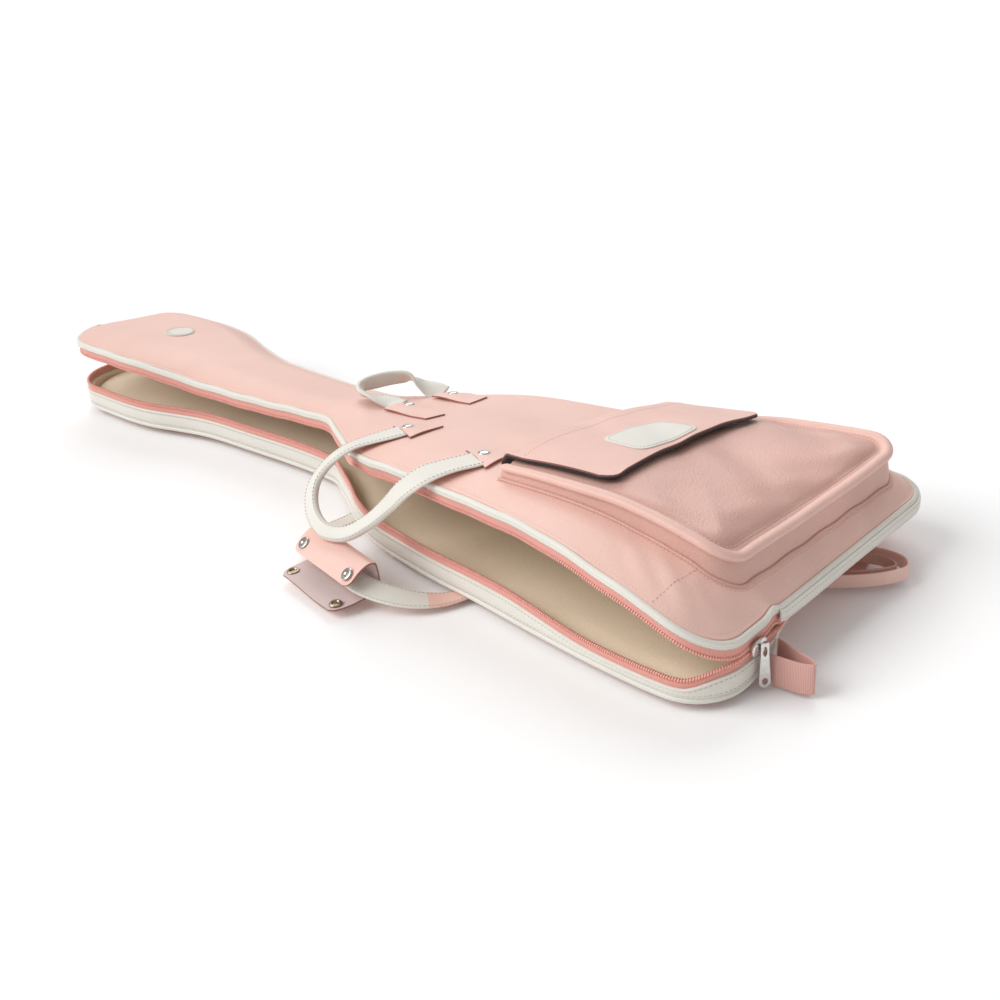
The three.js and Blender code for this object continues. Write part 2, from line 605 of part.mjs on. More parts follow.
const backHandleSection = [25, 3];
add('back_handle', strap(backHandle, backHandleSection, backHandleSection, 38), CREAM);

const plate = (x, y, low, high, length, width) => new THREE.BoxGeometry(length, width, high - low)
  .translate(x, y, (low + high) / 2);
for (const [end, x, y] of [['head', 41, -84], ['tail', 268, -102]]) {
  add(`back_handle_${end}_tab`, plate(x, y, 2.5, UNDER_BACK - 1.5 - GAP, 34, 34), LEATHER);
  const rivet = add(`back_handle_${end}_rivet`, domedCap(RIVET_RADIUS, 1.4), NICKEL);
  rivet.rotation.x = Math.PI;
  rivet.position.set(x, y, 2.2);
}

// The wrap is a wide folded sleeve: its lower half goes round the handle, its upper half snaps
// down on it and stands open here. Each half is given by its [out from the bag, height] section.
function wrapHalf(name, line, look) {
  const path = new THREE.CatmullRomCurve3(line.map(([v, z]) => new THREE.Vector3(v, z, 0)));
  const steps = 8;
  const faces = [-1, 1].map((side) => Array.from({ length: steps + 1 }, (_, i) => {
    const point = path.getPoint(i / steps);
    const along = path.getTangent(i / steps);
    const offset = (side * WRAP.thickness) / 2;
    return [point.x - offset * along.y, point.y + offset * along.x];
  }));
  const ring = [...faces[0], ...faces[1].reverse()];
  const outline = new THREE.Shape(ring.map(([v, z]) => new THREE.Vector2(v, z)));
  const body = new THREE.ExtrudeGeometry(outline, { depth: 2 * WRAP.halfLength, bevelEnabled: false });
  body.translate(0, 0, -WRAP.halfLength).rotateX(Math.PI / 2).rotateZ(WRAP_TURN - Math.PI / 2)
    .translate(WRAP.x, WRAP.y, 0);
  add(name, body, look);
}
const spineV = -15.6;
wrapHalf('wrap_upper', [[spineV, 47], [-8, 48.5], [5, 44], [20, 31]], LEATHER);
wrapHalf('wrap_lower', [[spineV, 45.2], [spineV - 1.6, 32], [spineV, 18], [2, 13], [41, 9.8]], SUEDE);
for (const [i, u] of [[1, -46], [2, 46]]) {
  const stud = add(`wrap_stud_${i}`, domedCap(RIVET_RADIUS, RIVET_HEIGHT + 1), NICKEL);
  stud.position.set(...wrapPoint(u, 13), 40.6);
  stud.rotation.set(0.72, 0, WRAP_TURN, 'ZYX');
  const socket = add(`wrap_socket_${i}`, domedCap(RIVET_RADIUS, RIVET_HEIGHT), BRASS);
  socket.position.set(...wrapPoint(u, 30), 12.6);
  socket.rotation.set(0.1, 0, WRAP_TURN, 'ZYX');
}

// ---------------------------------------------------------------- zip slider
const sliderFace = TAIL_END + COIL_RADIUS + GAP;
const closedZipHeight = TAPE_TOP + GAP + 2 * COIL_RADIUS + 0.15;
const sliderOutline = new THREE.Shape();
sliderOutline.absellipse(0, 0, 12, 8, 0, 2 * Math.PI);
const SLIDER_BEVEL = 0.8;
const sliderBody = new THREE.ExtrudeGeometry(sliderOutline, {
  depth: 5,
  bevelEnabled: true,
  bevelSize: SLIDER_BEVEL,
  bevelThickness: SLIDER_BEVEL,
  bevelSegments: 1,
  curveSegments: 10,
});
sliderBody.rotateY(Math.PI / 2).rotateX(Math.PI / 2)
  .translate(sliderFace + SLIDER_BEVEL, SLIDER_Y, closedZipHeight);
add('zip_slider', sliderBody, NICKEL);

// The pull is narrow where it hangs on the slider and widens to a round end with a hole.
const PULL_NECK = 4;
const PULL_TIP = 5;
const pullOutline = new THREE.Shape();
pullOutline.moveTo(-PULL_NECK, 0);
pullOutline.lineTo(PULL_NECK, 0);
pullOutline.lineTo(PULL_TIP, -PULL_LENGTH + PULL_TIP);
pullOutline.absarc(0, -PULL_LENGTH + PULL_TIP, PULL_TIP, 0, -Math.PI, true);
pullOutline.lineTo(-PULL_NECK, 0);
const pullHole = new THREE.Path();
pullHole.absellipse(0, -PULL_LENGTH + 7, 2.6, 3.6, 0, 2 * Math.PI);
pullOutline.holes.push(pullHole);
const pull = new THREE.ExtrudeGeometry(pullOutline, { depth: 1.8, bevelEnabled: false, curveSegments: 8 });
pull.rotateX(Math.PI / 2).rotateZ(Math.PI / 2)
  .translate(sliderFace + 7.7, SLIDER_Y, closedZipHeight + 6);
add('zip_pull', pull, NICKEL);

// ---------------------------------------------------------------- straps on the back
// The back panel lies on the two shoulder straps and on the webbing that ends at the tail.
const STRAP_TOP = FLOOR_TO_BACK - GAP;
function flatStrip(name, points, width, bottom, top, look, corner = 0.2) {
  const route = new THREE.CatmullRomCurve3(points.map(([x, y]) => new THREE.Vector3(x, y, 0)));
  const steps = 10;
  const middle = (bottom + top) / 2;
  const sections = [];
  for (let i = 0; i <= steps; i++) {
    const point = route.getPoint(i / steps);
    const along = route.getTangent(i / steps);
    const side = new THREE.Vector3(-along.y, along.x, 0);
    const ring = [[-1, 0], [-1 + corner, -1], [1 - corner, -1], [1, 0], [1 - corner, 1], [-1 + corner, 1]];
    sections.push(ring.map(([a, b]) => point.clone().addScaledVector(side, (a * width) / 2)
      .setZ(middle + (b * (top - bottom)) / 2)));
  }
  add(name, sweep(sections), look);
}
const WEBBING_WIDTH = 38;
for (const [side, sign] of [['near', -1], ['far', 1]]) {
  const lane = sign * 38;
  flatStrip(`shoulder_strap_${side}`, [[-40, lane * 0.86], [120, lane], [300, lane * 1.2]], 56, 0,
    STRAP_TOP, LEATHER);
  flatStrip(`strap_webbing_${side}`, [[345, lane * 1.3], [450, lane * 1.9], [575, sign * 100]],
    WEBBING_WIDTH, 3.6, 6, WEBBING, 0.05);
  flatStrip(`strap_anchor_${side}`, [[-92, lane * 0.82], [-44, lane * 0.86]], 50, 3, STRAP_TOP,
    LEATHER, 0.05);
  // Ladder buckle between the padded strap and its webbing.
  const slots = [-8, 8].map((x) => new THREE.BoxGeometry(8, 40, 9).translate(x, 0, 0));
  add(`strap_buckle_${side}`, cutAway(new THREE.BoxGeometry(36, 50, 5), ...slots)
    .rotateZ(sign * 0.06).translate(321.5, lane * 1.25, 4), BLACK);
}

// Loose ends that show past the tail: a loop at the near corner and one from under the far side.
const upright = (x, y, z) => [x, y, z, 0, 0, 1];
add('corner_loop', strap([[599, -101, 19], [622, -108, 20], [644, -116, 21], [645, -122, 21],
  [622, -125, 20], [599, -124, 19]].map((p) => upright(...p)), [30, 2], [30, 2], 20), WEBBING);
add('far_strap_loop', strap([[560, 110, 17], [588, 118, 17], [612, 113, 17], [620, 100, 17],
  [612, 82, 17], [592, 62, 16], [562, 40, 16]].map((p) => upright(...p)), [15, 2], [15, 2], 20), WEBBING);
add('far_strap_inner_loop', strap([[566, 101, 17], [590, 107, 17], [606, 102, 17], [609, 96, 17],
  [600, 82, 17], [584, 68, 16], [566, 56, 16]].map((p) => upright(...p)), [13, 2], [13, 2], 16), WEBBING);

// Origin under the middle of the bag's bounding box.
bag.position.set(-CENTRE[0], -CENTRE[1], 0);

export default bag;
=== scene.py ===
import math

import bmesh
import bpy
import numpy as np
from mathutils import Matrix, Vector


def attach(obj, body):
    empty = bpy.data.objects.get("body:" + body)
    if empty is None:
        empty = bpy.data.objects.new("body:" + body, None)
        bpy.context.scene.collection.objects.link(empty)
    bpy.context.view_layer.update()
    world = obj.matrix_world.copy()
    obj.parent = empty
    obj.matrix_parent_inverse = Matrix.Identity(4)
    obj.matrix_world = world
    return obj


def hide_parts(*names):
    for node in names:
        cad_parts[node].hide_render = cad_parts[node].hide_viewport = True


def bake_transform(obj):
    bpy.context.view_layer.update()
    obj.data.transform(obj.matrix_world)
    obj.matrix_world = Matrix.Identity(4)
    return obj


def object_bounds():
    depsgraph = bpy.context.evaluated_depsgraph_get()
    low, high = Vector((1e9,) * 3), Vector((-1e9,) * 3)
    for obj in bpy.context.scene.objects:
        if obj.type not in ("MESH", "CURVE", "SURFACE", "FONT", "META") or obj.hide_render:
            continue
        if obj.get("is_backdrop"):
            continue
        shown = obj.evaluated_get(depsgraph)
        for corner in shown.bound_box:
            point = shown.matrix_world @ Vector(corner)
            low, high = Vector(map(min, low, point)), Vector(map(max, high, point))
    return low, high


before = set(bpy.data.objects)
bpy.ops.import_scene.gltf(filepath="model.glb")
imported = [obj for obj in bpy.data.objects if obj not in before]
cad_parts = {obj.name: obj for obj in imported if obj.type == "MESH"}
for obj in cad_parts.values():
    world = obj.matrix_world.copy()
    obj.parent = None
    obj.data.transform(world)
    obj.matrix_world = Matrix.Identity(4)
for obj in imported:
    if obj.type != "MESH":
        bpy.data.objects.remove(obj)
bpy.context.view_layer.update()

# A padded gig bag on its back, with its zip run open. Lengths are in millimetres in the bag's
# own layout, as in the CAD source, and become metres about the row's origin in `to_row`.
CENTRE = (31.7, -38.0, 0.0)


def to_row(points):
    """Points in the bag's own millimetres as metres in the row's frame."""
    return (np.asarray(points, float) - CENTRE) / 1000.0


# ---------------------------------------------------------------- camera, light and floor
CAMERA_PLACE = (1154, -1012, 723)
CAMERA_TURN = (44.39, 26.65, -5.09)       # azimuth, elevation and roll in degrees
CAMERA_LENS = 49.3
FLOOR_SIZE = 300                          # metres, so that its edge is never seen


def aim(azimuth, elevation, roll):
    """The turn of a camera that looks back along these angles."""
    a, e, r = (math.radians(v) for v in (azimuth, elevation, roll))
    back = Vector((math.sin(a) * math.cos(e), -math.cos(a) * math.cos(e), math.sin(e)))
    right = Vector((math.cos(a), math.sin(a), 0))
    up = back.cross(right)
    right_rolled = right * math.cos(r) + up * math.sin(r)
    up_rolled = up * math.cos(r) - right * math.sin(r)
    return Matrix((right_rolled, up_rolled, back)).transposed().to_quaternion()


camera = bpy.data.objects.new("camera", bpy.data.cameras.new("camera"))
bpy.context.scene.collection.objects.link(camera)
camera.data.sensor_width = 36
camera.data.lens = CAMERA_LENS
camera.data.clip_end = 50
camera.location = to_row(CAMERA_PLACE)
camera.rotation_mode = "QUATERNION"
camera.rotation_quaternion = aim(*CAMERA_TURN)
bpy.context.scene.camera = camera


def sun(name, towards, strength, angle):
    """Soft even light that shines from the direction `towards`."""
    light = bpy.data.objects.new(name, bpy.data.lights.new(name, "SUN"))
    bpy.context.scene.collection.objects.link(light)
    light.data.energy = strength
    light.data.angle = math.radians(angle)
    light.location = Vector(towards) * 3
    light.rotation_mode = "QUATERNION"
    light.rotation_quaternion = Vector(towards).to_track_quat("Z", "Y")


sun("key_light", (-0.52, -0.58, 0.64), 2.0, 45)
sun("back_light", (-0.5, 0.6, 0.7), 0.85, 40)

world = bpy.data.worlds.new("studio")
bpy.context.scene.world = world
world.use_nodes = True
world.node_tree.nodes["Background"].inputs["Color"].default_value = (1, 1, 1, 1)
world.node_tree.nodes["Background"].inputs["Strength"].default_value = 0.50
bpy.context.scene.view_settings.view_transform = "Standard"

# ---------------------------------------------------------------- materials
class Look:
    """A material built from nodes, with short calls for the nodes that the looks share."""

    def __init__(self, name, colour, roughness, metallic=0.0):
        self.material = bpy.data.materials.new(name)
        self.material.use_nodes = True
        self.nodes = self.material.node_tree.nodes
        self.links = self.material.node_tree.links
        self.shader = self.nodes["Principled BSDF"]
        self.shader.inputs["Base Color"].default_value = (*colour, 1)
        self.shader.inputs["Roughness"].default_value = roughness
        self.shader.inputs["Metallic"].default_value = metallic
        self.place = self.nodes.new("ShaderNodeTexCoord").outputs["Object"]
        self.normal = None

    def noise(self, scale, detail=3.0):
        node = self.nodes.new("ShaderNodeTexNoise")
        node.inputs["Scale"].default_value = scale
        node.inputs["Detail"].default_value = detail
        node.inputs["Roughness"].default_value = 0.55
        self.links.new(self.place, node.inputs["Vector"])
        return node.outputs["Fac"]

    def cells(self, scale):
        node = self.nodes.new("ShaderNodeTexVoronoi")
        node.feature = "SMOOTH_F1"
        node.inputs["Scale"].default_value = scale
        self.links.new(self.place, node.inputs["Vector"])
        return node.outputs["Distance"]

    def wave(self, scale, source, direction):
        node = self.nodes.new("ShaderNodeTexWave")
        node.bands_direction = direction
        node.inputs["Scale"].default_value = scale
        self.links.new(source, node.inputs["Vector"])
        return node.outputs["Fac"]

    def along(self):
        """Metres along and across a swept piece, kept on its corners."""
        node = self.nodes.new("ShaderNodeAttribute")
        node.attribute_name = "along"
        return node.outputs["Vector"]

    def ramp(self, source, stops):
        node = self.nodes.new("ShaderNodeValToRGB")
        elements = node.color_ramp.elements
        while len(elements) < len(stops):
            elements.new(0.5)
        for element, (at, colour) in zip(elements, stops):
            element.position = at
            element.color = (*colour, 1)
        self.links.new(source, node.inputs["Fac"])
        return node.outputs["Color"]

    def colour_from(self, source):
        self.links.new(source, self.shader.inputs["Base Color"])

    def mixed(self, first, second, mode, share):
        node = self.nodes.new("ShaderNodeMix")
        node.data_type = "RGBA"
        node.blend_type = mode
        node.inputs["Factor"].default_value = share
        self.links.new(first, node.inputs[6])
        self.links.new(second, node.inputs[7])
        return node.outputs[2]

    def spread(self, source, low, high):
        node = self.nodes.new("ShaderNodeMapRange")
        node.inputs["To Min"].default_value = low
        node.inputs["To Max"].default_value = high
        self.links.new(source, node.inputs["Value"])
        return node.outputs["Result"]

    def roughness_from(self, source, low, high):
        self.links.new(self.spread(source, low, high), self.shader.inputs["Roughness"])

    def bump(self, source, strength, distance):
        node = self.nodes.new("ShaderNodeBump")
        node.inputs["Strength"].default_value = strength
        node.inputs["Distance"].default_value = distance
        self.links.new(source, node.inputs["Height"])
        if self.normal is not None:
            self.links.new(self.normal, node.inputs["Normal"])
        self.normal = node.outputs["Normal"]
        self.links.new(self.normal, self.shader.inputs["Normal"])

    def sheen(self, weight):
        self.shader.inputs["Sheen Weight"].default_value = weight
        self.shader.inputs["Sheen Roughness"].default_value = 0.5


def shade(colour, factor):
    """A darker shade of a colour."""
    return tuple(c * factor for c in colour)


def leather(name, colour, grain=900, depth=0.35, rough=(0.42, 0.56), blotch=0.06, relief=0.00035):
    look = Look(name, colour, rough[0])
    cloudy = look.ramp(look.noise(7, 4), [(0.3, shade(colour, 1 - blotch)), (0.7, colour)])
    pores = look.ramp(look.cells(grain), [(0.0, (1, 1, 1)), (0.75, (0.86, 0.82, 0.80))])
    look.colour_from(look.mixed(cloudy, pores, "MULTIPLY", 0.35))
    look.roughness_from(look.noise(60, 3), *rough)
    look.bump(look.noise(55, 2), 0.16, 0.0012)
    look.bump(look.cells(grain), depth, relief)
    look.bump(look.noise(150, 2), 0.06, relief * 2)
    look.bump(look.noise(grain * 2.6, 2), 0.12, 0.0002)
    look.shader.inputs["Coat Weight"].default_value = 0.06
    look.shader.inputs["Coat Roughness"].default_value = 0.35
    return look.material


def cloth(name, colour, scale=2200, rough=0.85, sheen=0.25, depth=0.3):
    look = Look(name, colour, rough)
    fibres = look.ramp(look.noise(scale * 0.4, 2), [(0.3, shade(colour, 0.86)), (0.7, colour)])
    look.colour_from(fibres)
    look.bump(look.noise(scale, 2), depth, 0.0003)
    look.bump(look.noise(25, 3), 0.2, 0.002)
    look.sheen(sheen)
    return look.material


ONE_BAND = 0.314                          # the scale at which a wave texture repeats every metre


def woven(name, colour, dark, pitch, depth=0.5, rough=0.75):
    """Cloth woven along a swept piece, with threads `pitch` metres apart."""
    look = Look(name, colour, rough)
    along = look.along()
    warp = look.wave(ONE_BAND / pitch, along, "X")
    weft = look.wave(ONE_BAND / pitch, along, "Y")
    threads = look.mixed(warp, weft, "MULTIPLY", 0.8)
    look.colour_from(look.ramp(threads, [(0.0, dark), (0.55, colour)]))
    look.bump(threads, depth, 0.0004)
    look.bump(look.noise(3000, 1), 0.1, 0.0002)
    look.sheen(0.2)
    return look.material


def metal(name, colour, rough, scratch=0.1):
    look = Look(name, colour, rough, 1.0)
    look.roughness_from(look.noise(500, 3), rough * 0.7, rough * 1.5)
    look.bump(look.noise(900, 2), scratch, 0.0001)
    tint = look.ramp(look.noise(200, 2), [(0.3, shade(colour, 0.85)), (0.7, colour)])
    look.colour_from(tint)
    return look.material


PINK = leather("pink_leather", (0.890, 0.585, 0.505), 720, 0.5, (0.38, 0.56), 0.08, 0.0004)
# Pebbled pocket leather: the grain is its own, and its darker pink is partly painted shade of faces turned
# from the light.
PINK_GRAIN_SHADED = leather("pink_leather_grained_painted_shade", (0.76, 0.455, 0.385), 520, 0.8, (0.36, 0.54), 0.20, 0.00045)
# A darker copy of the pink leather: painted shade for the sloping flap and the pocket's rolled border.
PINK_SHADED = leather("pink_leather_painted_shade", (0.86, 0.550, 0.475), 620, 0.6, (0.38, 0.56), 0.12, 0.0004)
CUT_EDGE = leather("pink_cut_edge", (0.40, 0.16, 0.14), 1500, 0.5, (0.6, 0.8), 0.3)
CREAM = leather("cream_leather", (0.80, 0.775, 0.705), 1000, 0.35, (0.42, 0.60), 0.08)
CREAM_THREAD = cloth("cream_thread", (0.62, 0.58, 0.50), 4000, 0.8, 0.1)
PINK_THREAD = cloth("pink_thread", (0.78, 0.42, 0.36), 4000, 0.8, 0.1)
PALE_THREAD = cloth("pale_thread", (0.93, 0.70, 0.62), 4000, 0.8, 0.1)
LINING = cloth("beige_lining", (0.86, 0.72, 0.54), 1800, 0.5, 0.4, 0.15)
BLACK_CLOTH = cloth("black_lining", (0.018, 0.017, 0.018), 1500, 0.9, 0.3)
SUEDE = cloth("suede", (0.72, 0.56, 0.53), 2600, 0.95, 0.6, 0.6)
TAPE = woven("zip_tape", (0.90, 0.43, 0.36), (0.66, 0.25, 0.20), 0.0012)
WEBBING = woven("pink_webbing", (0.80, 0.47, 0.41), (0.56, 0.29, 0.25), 0.0015, 0.6)
NICKEL = metal("nickel", (0.72, 0.71, 0.69), 0.16)
SNAP = metal("snap_metal", (0.46, 0.44, 0.41), 0.2, 0.05)
BRASS = metal("old_brass", (0.36, 0.29, 0.20), 0.28, 0.3)

coil = Look("zip_coil", (0.94, 0.48, 0.41), 0.34)
coil.colour_from(coil.ramp(coil.noise(260, 2), [(0.3, (0.88, 0.40, 0.33)), (0.7, (0.96, 0.52, 0.45))]))
coil.bump(coil.noise(1800, 2), 0.15, 0.0002)
COIL = coil.material
plastic = Look("black_plastic", (0.02, 0.02, 0.021), 0.42)
plastic.roughness_from(plastic.noise(300, 3), 0.35, 0.55)
plastic.bump(plastic.noise(1500, 2), 0.2, 0.0002)
BLACK_PLASTIC = plastic.material
ground = Look("studio_floor", (0.98, 0.98, 0.98), 0.9)
ground.colour_from(ground.ramp(ground.noise(3, 2), [(0.3, (0.97, 0.97, 0.97)), (0.7, (0.99, 0.99, 0.99))]))
FLOOR = ground.material

bpy.ops.mesh.primitive_plane_add(size=FLOOR_SIZE, location=(0, 0, 0))
floor = bpy.context.object
floor.name = "floor"
floor.data.materials.append(FLOOR)
floor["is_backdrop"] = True

# ---------------------------------------------------------------- mesh helpers
def piece(name, points, faces, looks, body, face_looks=None, along=None):
    """A new visible piece from points in millimetres. It rides on a body, if one is given."""
    mesh = bpy.data.meshes.new(name)
    mesh.from_pydata([tuple(p) for p in to_row(points)], [], [tuple(f) for f in faces])
    for look in looks if isinstance(looks, (list, tuple)) else [looks]:
        mesh.materials.append(look)
    if face_looks is not None:
        mesh.polygons.foreach_set("material_index", face_looks)
    if along is not None:
        layer = mesh.attributes.new("along", "FLOAT_VECTOR", "POINT")
        layer.data.foreach_set("vector", np.asarray(along, np.float32).ravel())
    mesh.validate()
    work = bmesh.new()
    work.from_mesh(mesh)
    bmesh.ops.recalc_face_normals(work, faces=work.faces)
    work.to_mesh(mesh)
    work.free()
    mesh.polygons.foreach_set("use_smooth", [True] * len(mesh.polygons))
    thing = bpy.data.objects.new(name, mesh)
    bpy.context.scene.collection.objects.link(thing)
    if body:
        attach(thing, body)
    return thing


def crease(thing, degrees=40):
    """Keeps edges sharper than this angle crisp while the rest shades smooth."""
    work = bmesh.new()
    work.from_mesh(thing.data)
    for edge in work.edges:
        if len(edge.link_faces) == 2:
            edge.smooth = edge.calc_face_angle(0) < math.radians(degrees)
    work.to_mesh(thing.data)
    work.free()
    return thing


def slab(name, top, bottom, looks, body, edge_look=0, under_look=0, sharp=50):
    """A closed sheet between two grids of points of the same size."""
    top, bottom = np.asarray(top), np.asarray(bottom)
    rows, columns = top.shape[:2]
    points = np.concatenate([top.reshape(-1, 3), bottom.reshape(-1, 3)])
    count = rows * columns
    faces, kinds = [], []
    for i in range(rows - 1):
        for j in range(columns - 1):
            a, b = i * columns + j, i * columns + j + 1
            c, d = a + columns, b + columns
            faces.append((a, b, d, c))
            kinds.append(0)
            faces.append((count + a, count + c, count + d, count + b))
            kinds.append(under_look)
    ring = list(range(columns)) + [i * columns + columns - 1 for i in range(1, rows)]
    ring += [(rows - 1) * columns + j for j in range(columns - 2, -1, -1)]
    ring += [i * columns for i in range(rows - 2, 0, -1)]
    for k, a in enumerate(ring):
        b = ring[(k + 1) % len(ring)]
        faces.append((a, a + count, b + count, b))
        kinds.append(edge_look)
    return crease(piece(name, points, faces, looks, body, face_looks=kinds), sharp)


def tube_faces(rings, sides, first=0, closed=False):
    """Faces of a tube through rings of points, with a cap at each end unless it is closed."""
    faces = []
    for i in range(rings if closed else rings - 1):
        here, there = first + i * sides, first + (i + 1) % rings * sides
        for j in range(sides):
            n = (j + 1) % sides
            faces.append((here + j, here + n, there + n, there + j))
    if not closed:
        last = first + (rings - 1) * sides
        faces += [tuple(range(first, first + sides)), tuple(range(last, last + sides))]
    return faces


def swept(name, rings, looks, body, slot, closed=False, sharp=None, kinds=None):
    """A tube through rings of points, capped at its ends unless it is closed on itself."""
    rings = np.asarray(rings)
    count, sides = rings.shape[:2]
    middle = rings.mean(axis=1)
    steps = np.linalg.norm(np.diff(middle, axis=0), axis=1)
    run = np.concatenate([[0], np.cumsum(steps)]) / 1000
    around = np.linalg.norm(rings[0] - np.roll(rings[0], 1, axis=0), axis=1)
    across = np.cumsum(around) / 1000
    along = np.stack(np.broadcast_arrays(run[:, None], across[None, :], 0.0), axis=-1)
    kinds = kinds or [0] * sides
    face_looks = kinds * count if closed else kinds * (count - 1) + [0, 0]
    thing = piece(name, rings.reshape(-1, 3), tube_faces(count, sides, closed=closed), looks, body,
                  face_looks=face_looks, along=along.reshape(-1, 3))
    return crease(thing, sharp) if sharp else thing


def unit(vectors):
    vectors = np.asarray(vectors, float)
    return vectors / np.maximum(np.linalg.norm(vectors, axis=-1, keepdims=True), 1e-9)


def resample(points, step, closed=False):
    points = np.asarray(points, float)
    if closed:
        points = np.vstack([points, points[:1]])
    run = np.concatenate([[0], np.cumsum(np.linalg.norm(np.diff(points, axis=0), axis=1))])
    count = max(int(round(run[-1] / step)), 2)
    at = np.linspace(0, run[-1], count + 1)
    if closed:
        at = at[:-1]
    return np.stack([np.interp(at, run, points[:, k]) for k in range(points.shape[1])], axis=1)


def spline(stops, count):
    """A smooth curve through stops, with `count` points, by centripetal-like chord lengths."""
    stops = np.asarray(stops, float)
    gaps = np.sqrt(np.linalg.norm(np.diff(stops[:, :3], axis=0), axis=1)) + 1e-6
    knots = np.concatenate([[0], np.cumsum(gaps)])
    slopes = np.gradient(stops, knots, axis=0)
    at = np.linspace(0, knots[-1], count)
    k = np.clip(np.searchsorted(knots, at, side="right") - 1, 0, len(stops) - 2)
    h = (knots[k + 1] - knots[k])[:, None]
    p = ((at - knots[k])[:, None]) / h
    return ((2 * p**3 - 3 * p**2 + 1) * stops[k] + (p**3 - 2 * p**2 + p) * h * slopes[k]
            + (3 * p**2 - 2 * p**3) * stops[k + 1] + (p**3 - p**2) * h * slopes[k + 1])


def tangents(points, closed=False):
    if closed:
        return unit(np.roll(points, -1, axis=0) - np.roll(points, 1, axis=0))
    return unit(np.gradient(points, axis=0))


def circle(count):
    """Angles of points evenly round a circle."""
    return 2 * np.pi * np.arange(count) / count


def stitches(name, path, normals, look, body, slot, length=3.2, gap=1.7, radius=0.42, closed=False):
    """A row of sewn stitches lying on a surface: one small rounded stitch per step."""
    path = np.asarray(path, float)
    normals = np.broadcast_to(np.asarray(normals, float), path.shape)
    both = resample(np.hstack([path, normals]), length + gap, closed)
    at, up = both[:, :3], unit(both[:, 3:])
    ahead = tangents(at, closed)
    side = unit(np.cross(ahead, up))
    sections = [(-0.5, 0.25), (-0.34, 0.9), (0.0, 1.0), (0.34, 0.9), (0.5, 0.25)]
    corners = 6
    points, faces = [], []
    for p, t, n, s in zip(at, ahead, up, side):
        base = len(points)
        for share, fat in sections:
            for c in range(corners):
                turn = 2 * math.pi * c / corners
                points.append(p + t * share * length + s * math.cos(turn) * radius * fat
                              + n * (math.sin(turn) * radius * fat + radius * (fat - 0.7)))
        faces += tube_faces(len(sections), corners, base)
    return piece(name, np.array(points), faces, look, body)


def lathe(name, profile, place, up, looks, body, sides=28, sharp=35):
    """A turned part: profile is (radius, height) pairs from its foot on the axis to its top."""
    up = unit(up)
    side = unit(np.cross(up, (0.3, 0.9, 0.1)))
    other = np.cross(up, side)
    points = [np.asarray(place) + up * height
              + (side * math.cos(turn) + other * math.sin(turn)) * max(radius, 0.02)
              for radius, height in profile for turn in circle(sides)]
    faces = tube_faces(len(profile), sides)
    return crease(piece(name, np.array(points), faces, looks, body), sharp)


def oval(half_side, half_up, count):
    """The section of a round cord, as offsets sideways and upwards."""
    return [(half_side * math.cos(a), half_up * math.sin(a)) for a in circle(count)]


def squared(turn, power):
    """How far out a squared oval lies at each angle, against a circle."""
    return (np.abs(np.cos(turn))**power + np.abs(np.sin(turn))**power)**(-1 / power)


def flat_section(turn, across, up):
    """A circle flattened by powers below one: the section of a strap or of webbing."""
    c, s = np.cos(turn), np.sin(turn)
    return np.sign(c) * np.abs(c)**across, np.sign(s) * np.abs(s)**up


def around(line, side, up, section, size=1.0):
    """Rings about a line, from offsets along its two directions."""
    return np.stack([line + (side * a + up * b) * size for a, b in section], axis=1)


def laid_route(stops, count):
    """The middle of a strap, and its directions across its width and out of its face."""
    route = spline(stops, count)
    ahead = tangents(route[:, :3])
    side = route[:, 3:6]
    side = unit(side - ahead * (side * ahead).sum(axis=1, keepdims=True))
    return route[:, :3], side, np.cross(ahead, side)


def normals_of(height, x, y, step=3.0):
    """Directions square to a surface, of which `height` gives the height."""
    slope_x = (height(x + step, y) - height(x - step, y)) / (2 * step)
    slope_y = (height(x, y + step) - height(x, y - step)) / (2 * step)
    return unit(np.stack([-slope_x, -slope_y, np.ones_like(slope_x)], axis=-1))


def laid_on(height, points, above):
    """Points of the plan, lifted onto a surface."""
    return np.column_stack([points, height(points[:, 0], points[:, 1]) + above])


def stitches_on(height, name, points, look, body, slot, above, step=3.0, **sizes):
    """A row of stitches that follows a surface."""
    normals = normals_of(height, points[:, 0], points[:, 1], step)
    return stitches(name, laid_on(height, points, above), normals, look, body, slot, **sizes)


# ---------------------------------------------------------------- the bag's outline and heights
def through(positions, values):
    """The cubic curve that the CAD source draws through the same samples."""
    xs, vs = np.array(positions, float), np.array(values, float)

    def evaluate(x):
        x = np.clip(np.asarray(x, float), xs[0], xs[-1])
        k = np.clip(np.searchsorted(xs, x, side="right"), 1, len(xs) - 1)
        t0, t1 = xs[k - 1], xs[k]
        before = np.where(k >= 2, k - 2, k)
        after = np.where(k + 1 < len(xs), k + 1, k - 1)
        half = (t1 - t0) / 2
        wp, wn = half / (t0 - xs[before]), half / (xs[after] - t1)
        p = (x - t0) / (t1 - t0)
        return ((-wp * p**3 + 2 * wp * p**2 - wp * p) * vs[before]
                + ((1 + wp) * p**3 + (-1.5 - 2 * wp) * p**2 + (-0.5 + wp) * p + 1) * vs[k - 1]
                + ((-1 - wn) * p**3 + (1.5 + wn) * p**2 + 0.5 * p) * vs[k]
                + (wn * p**3 - wn * p**2) * vs[after])
    return evaluate


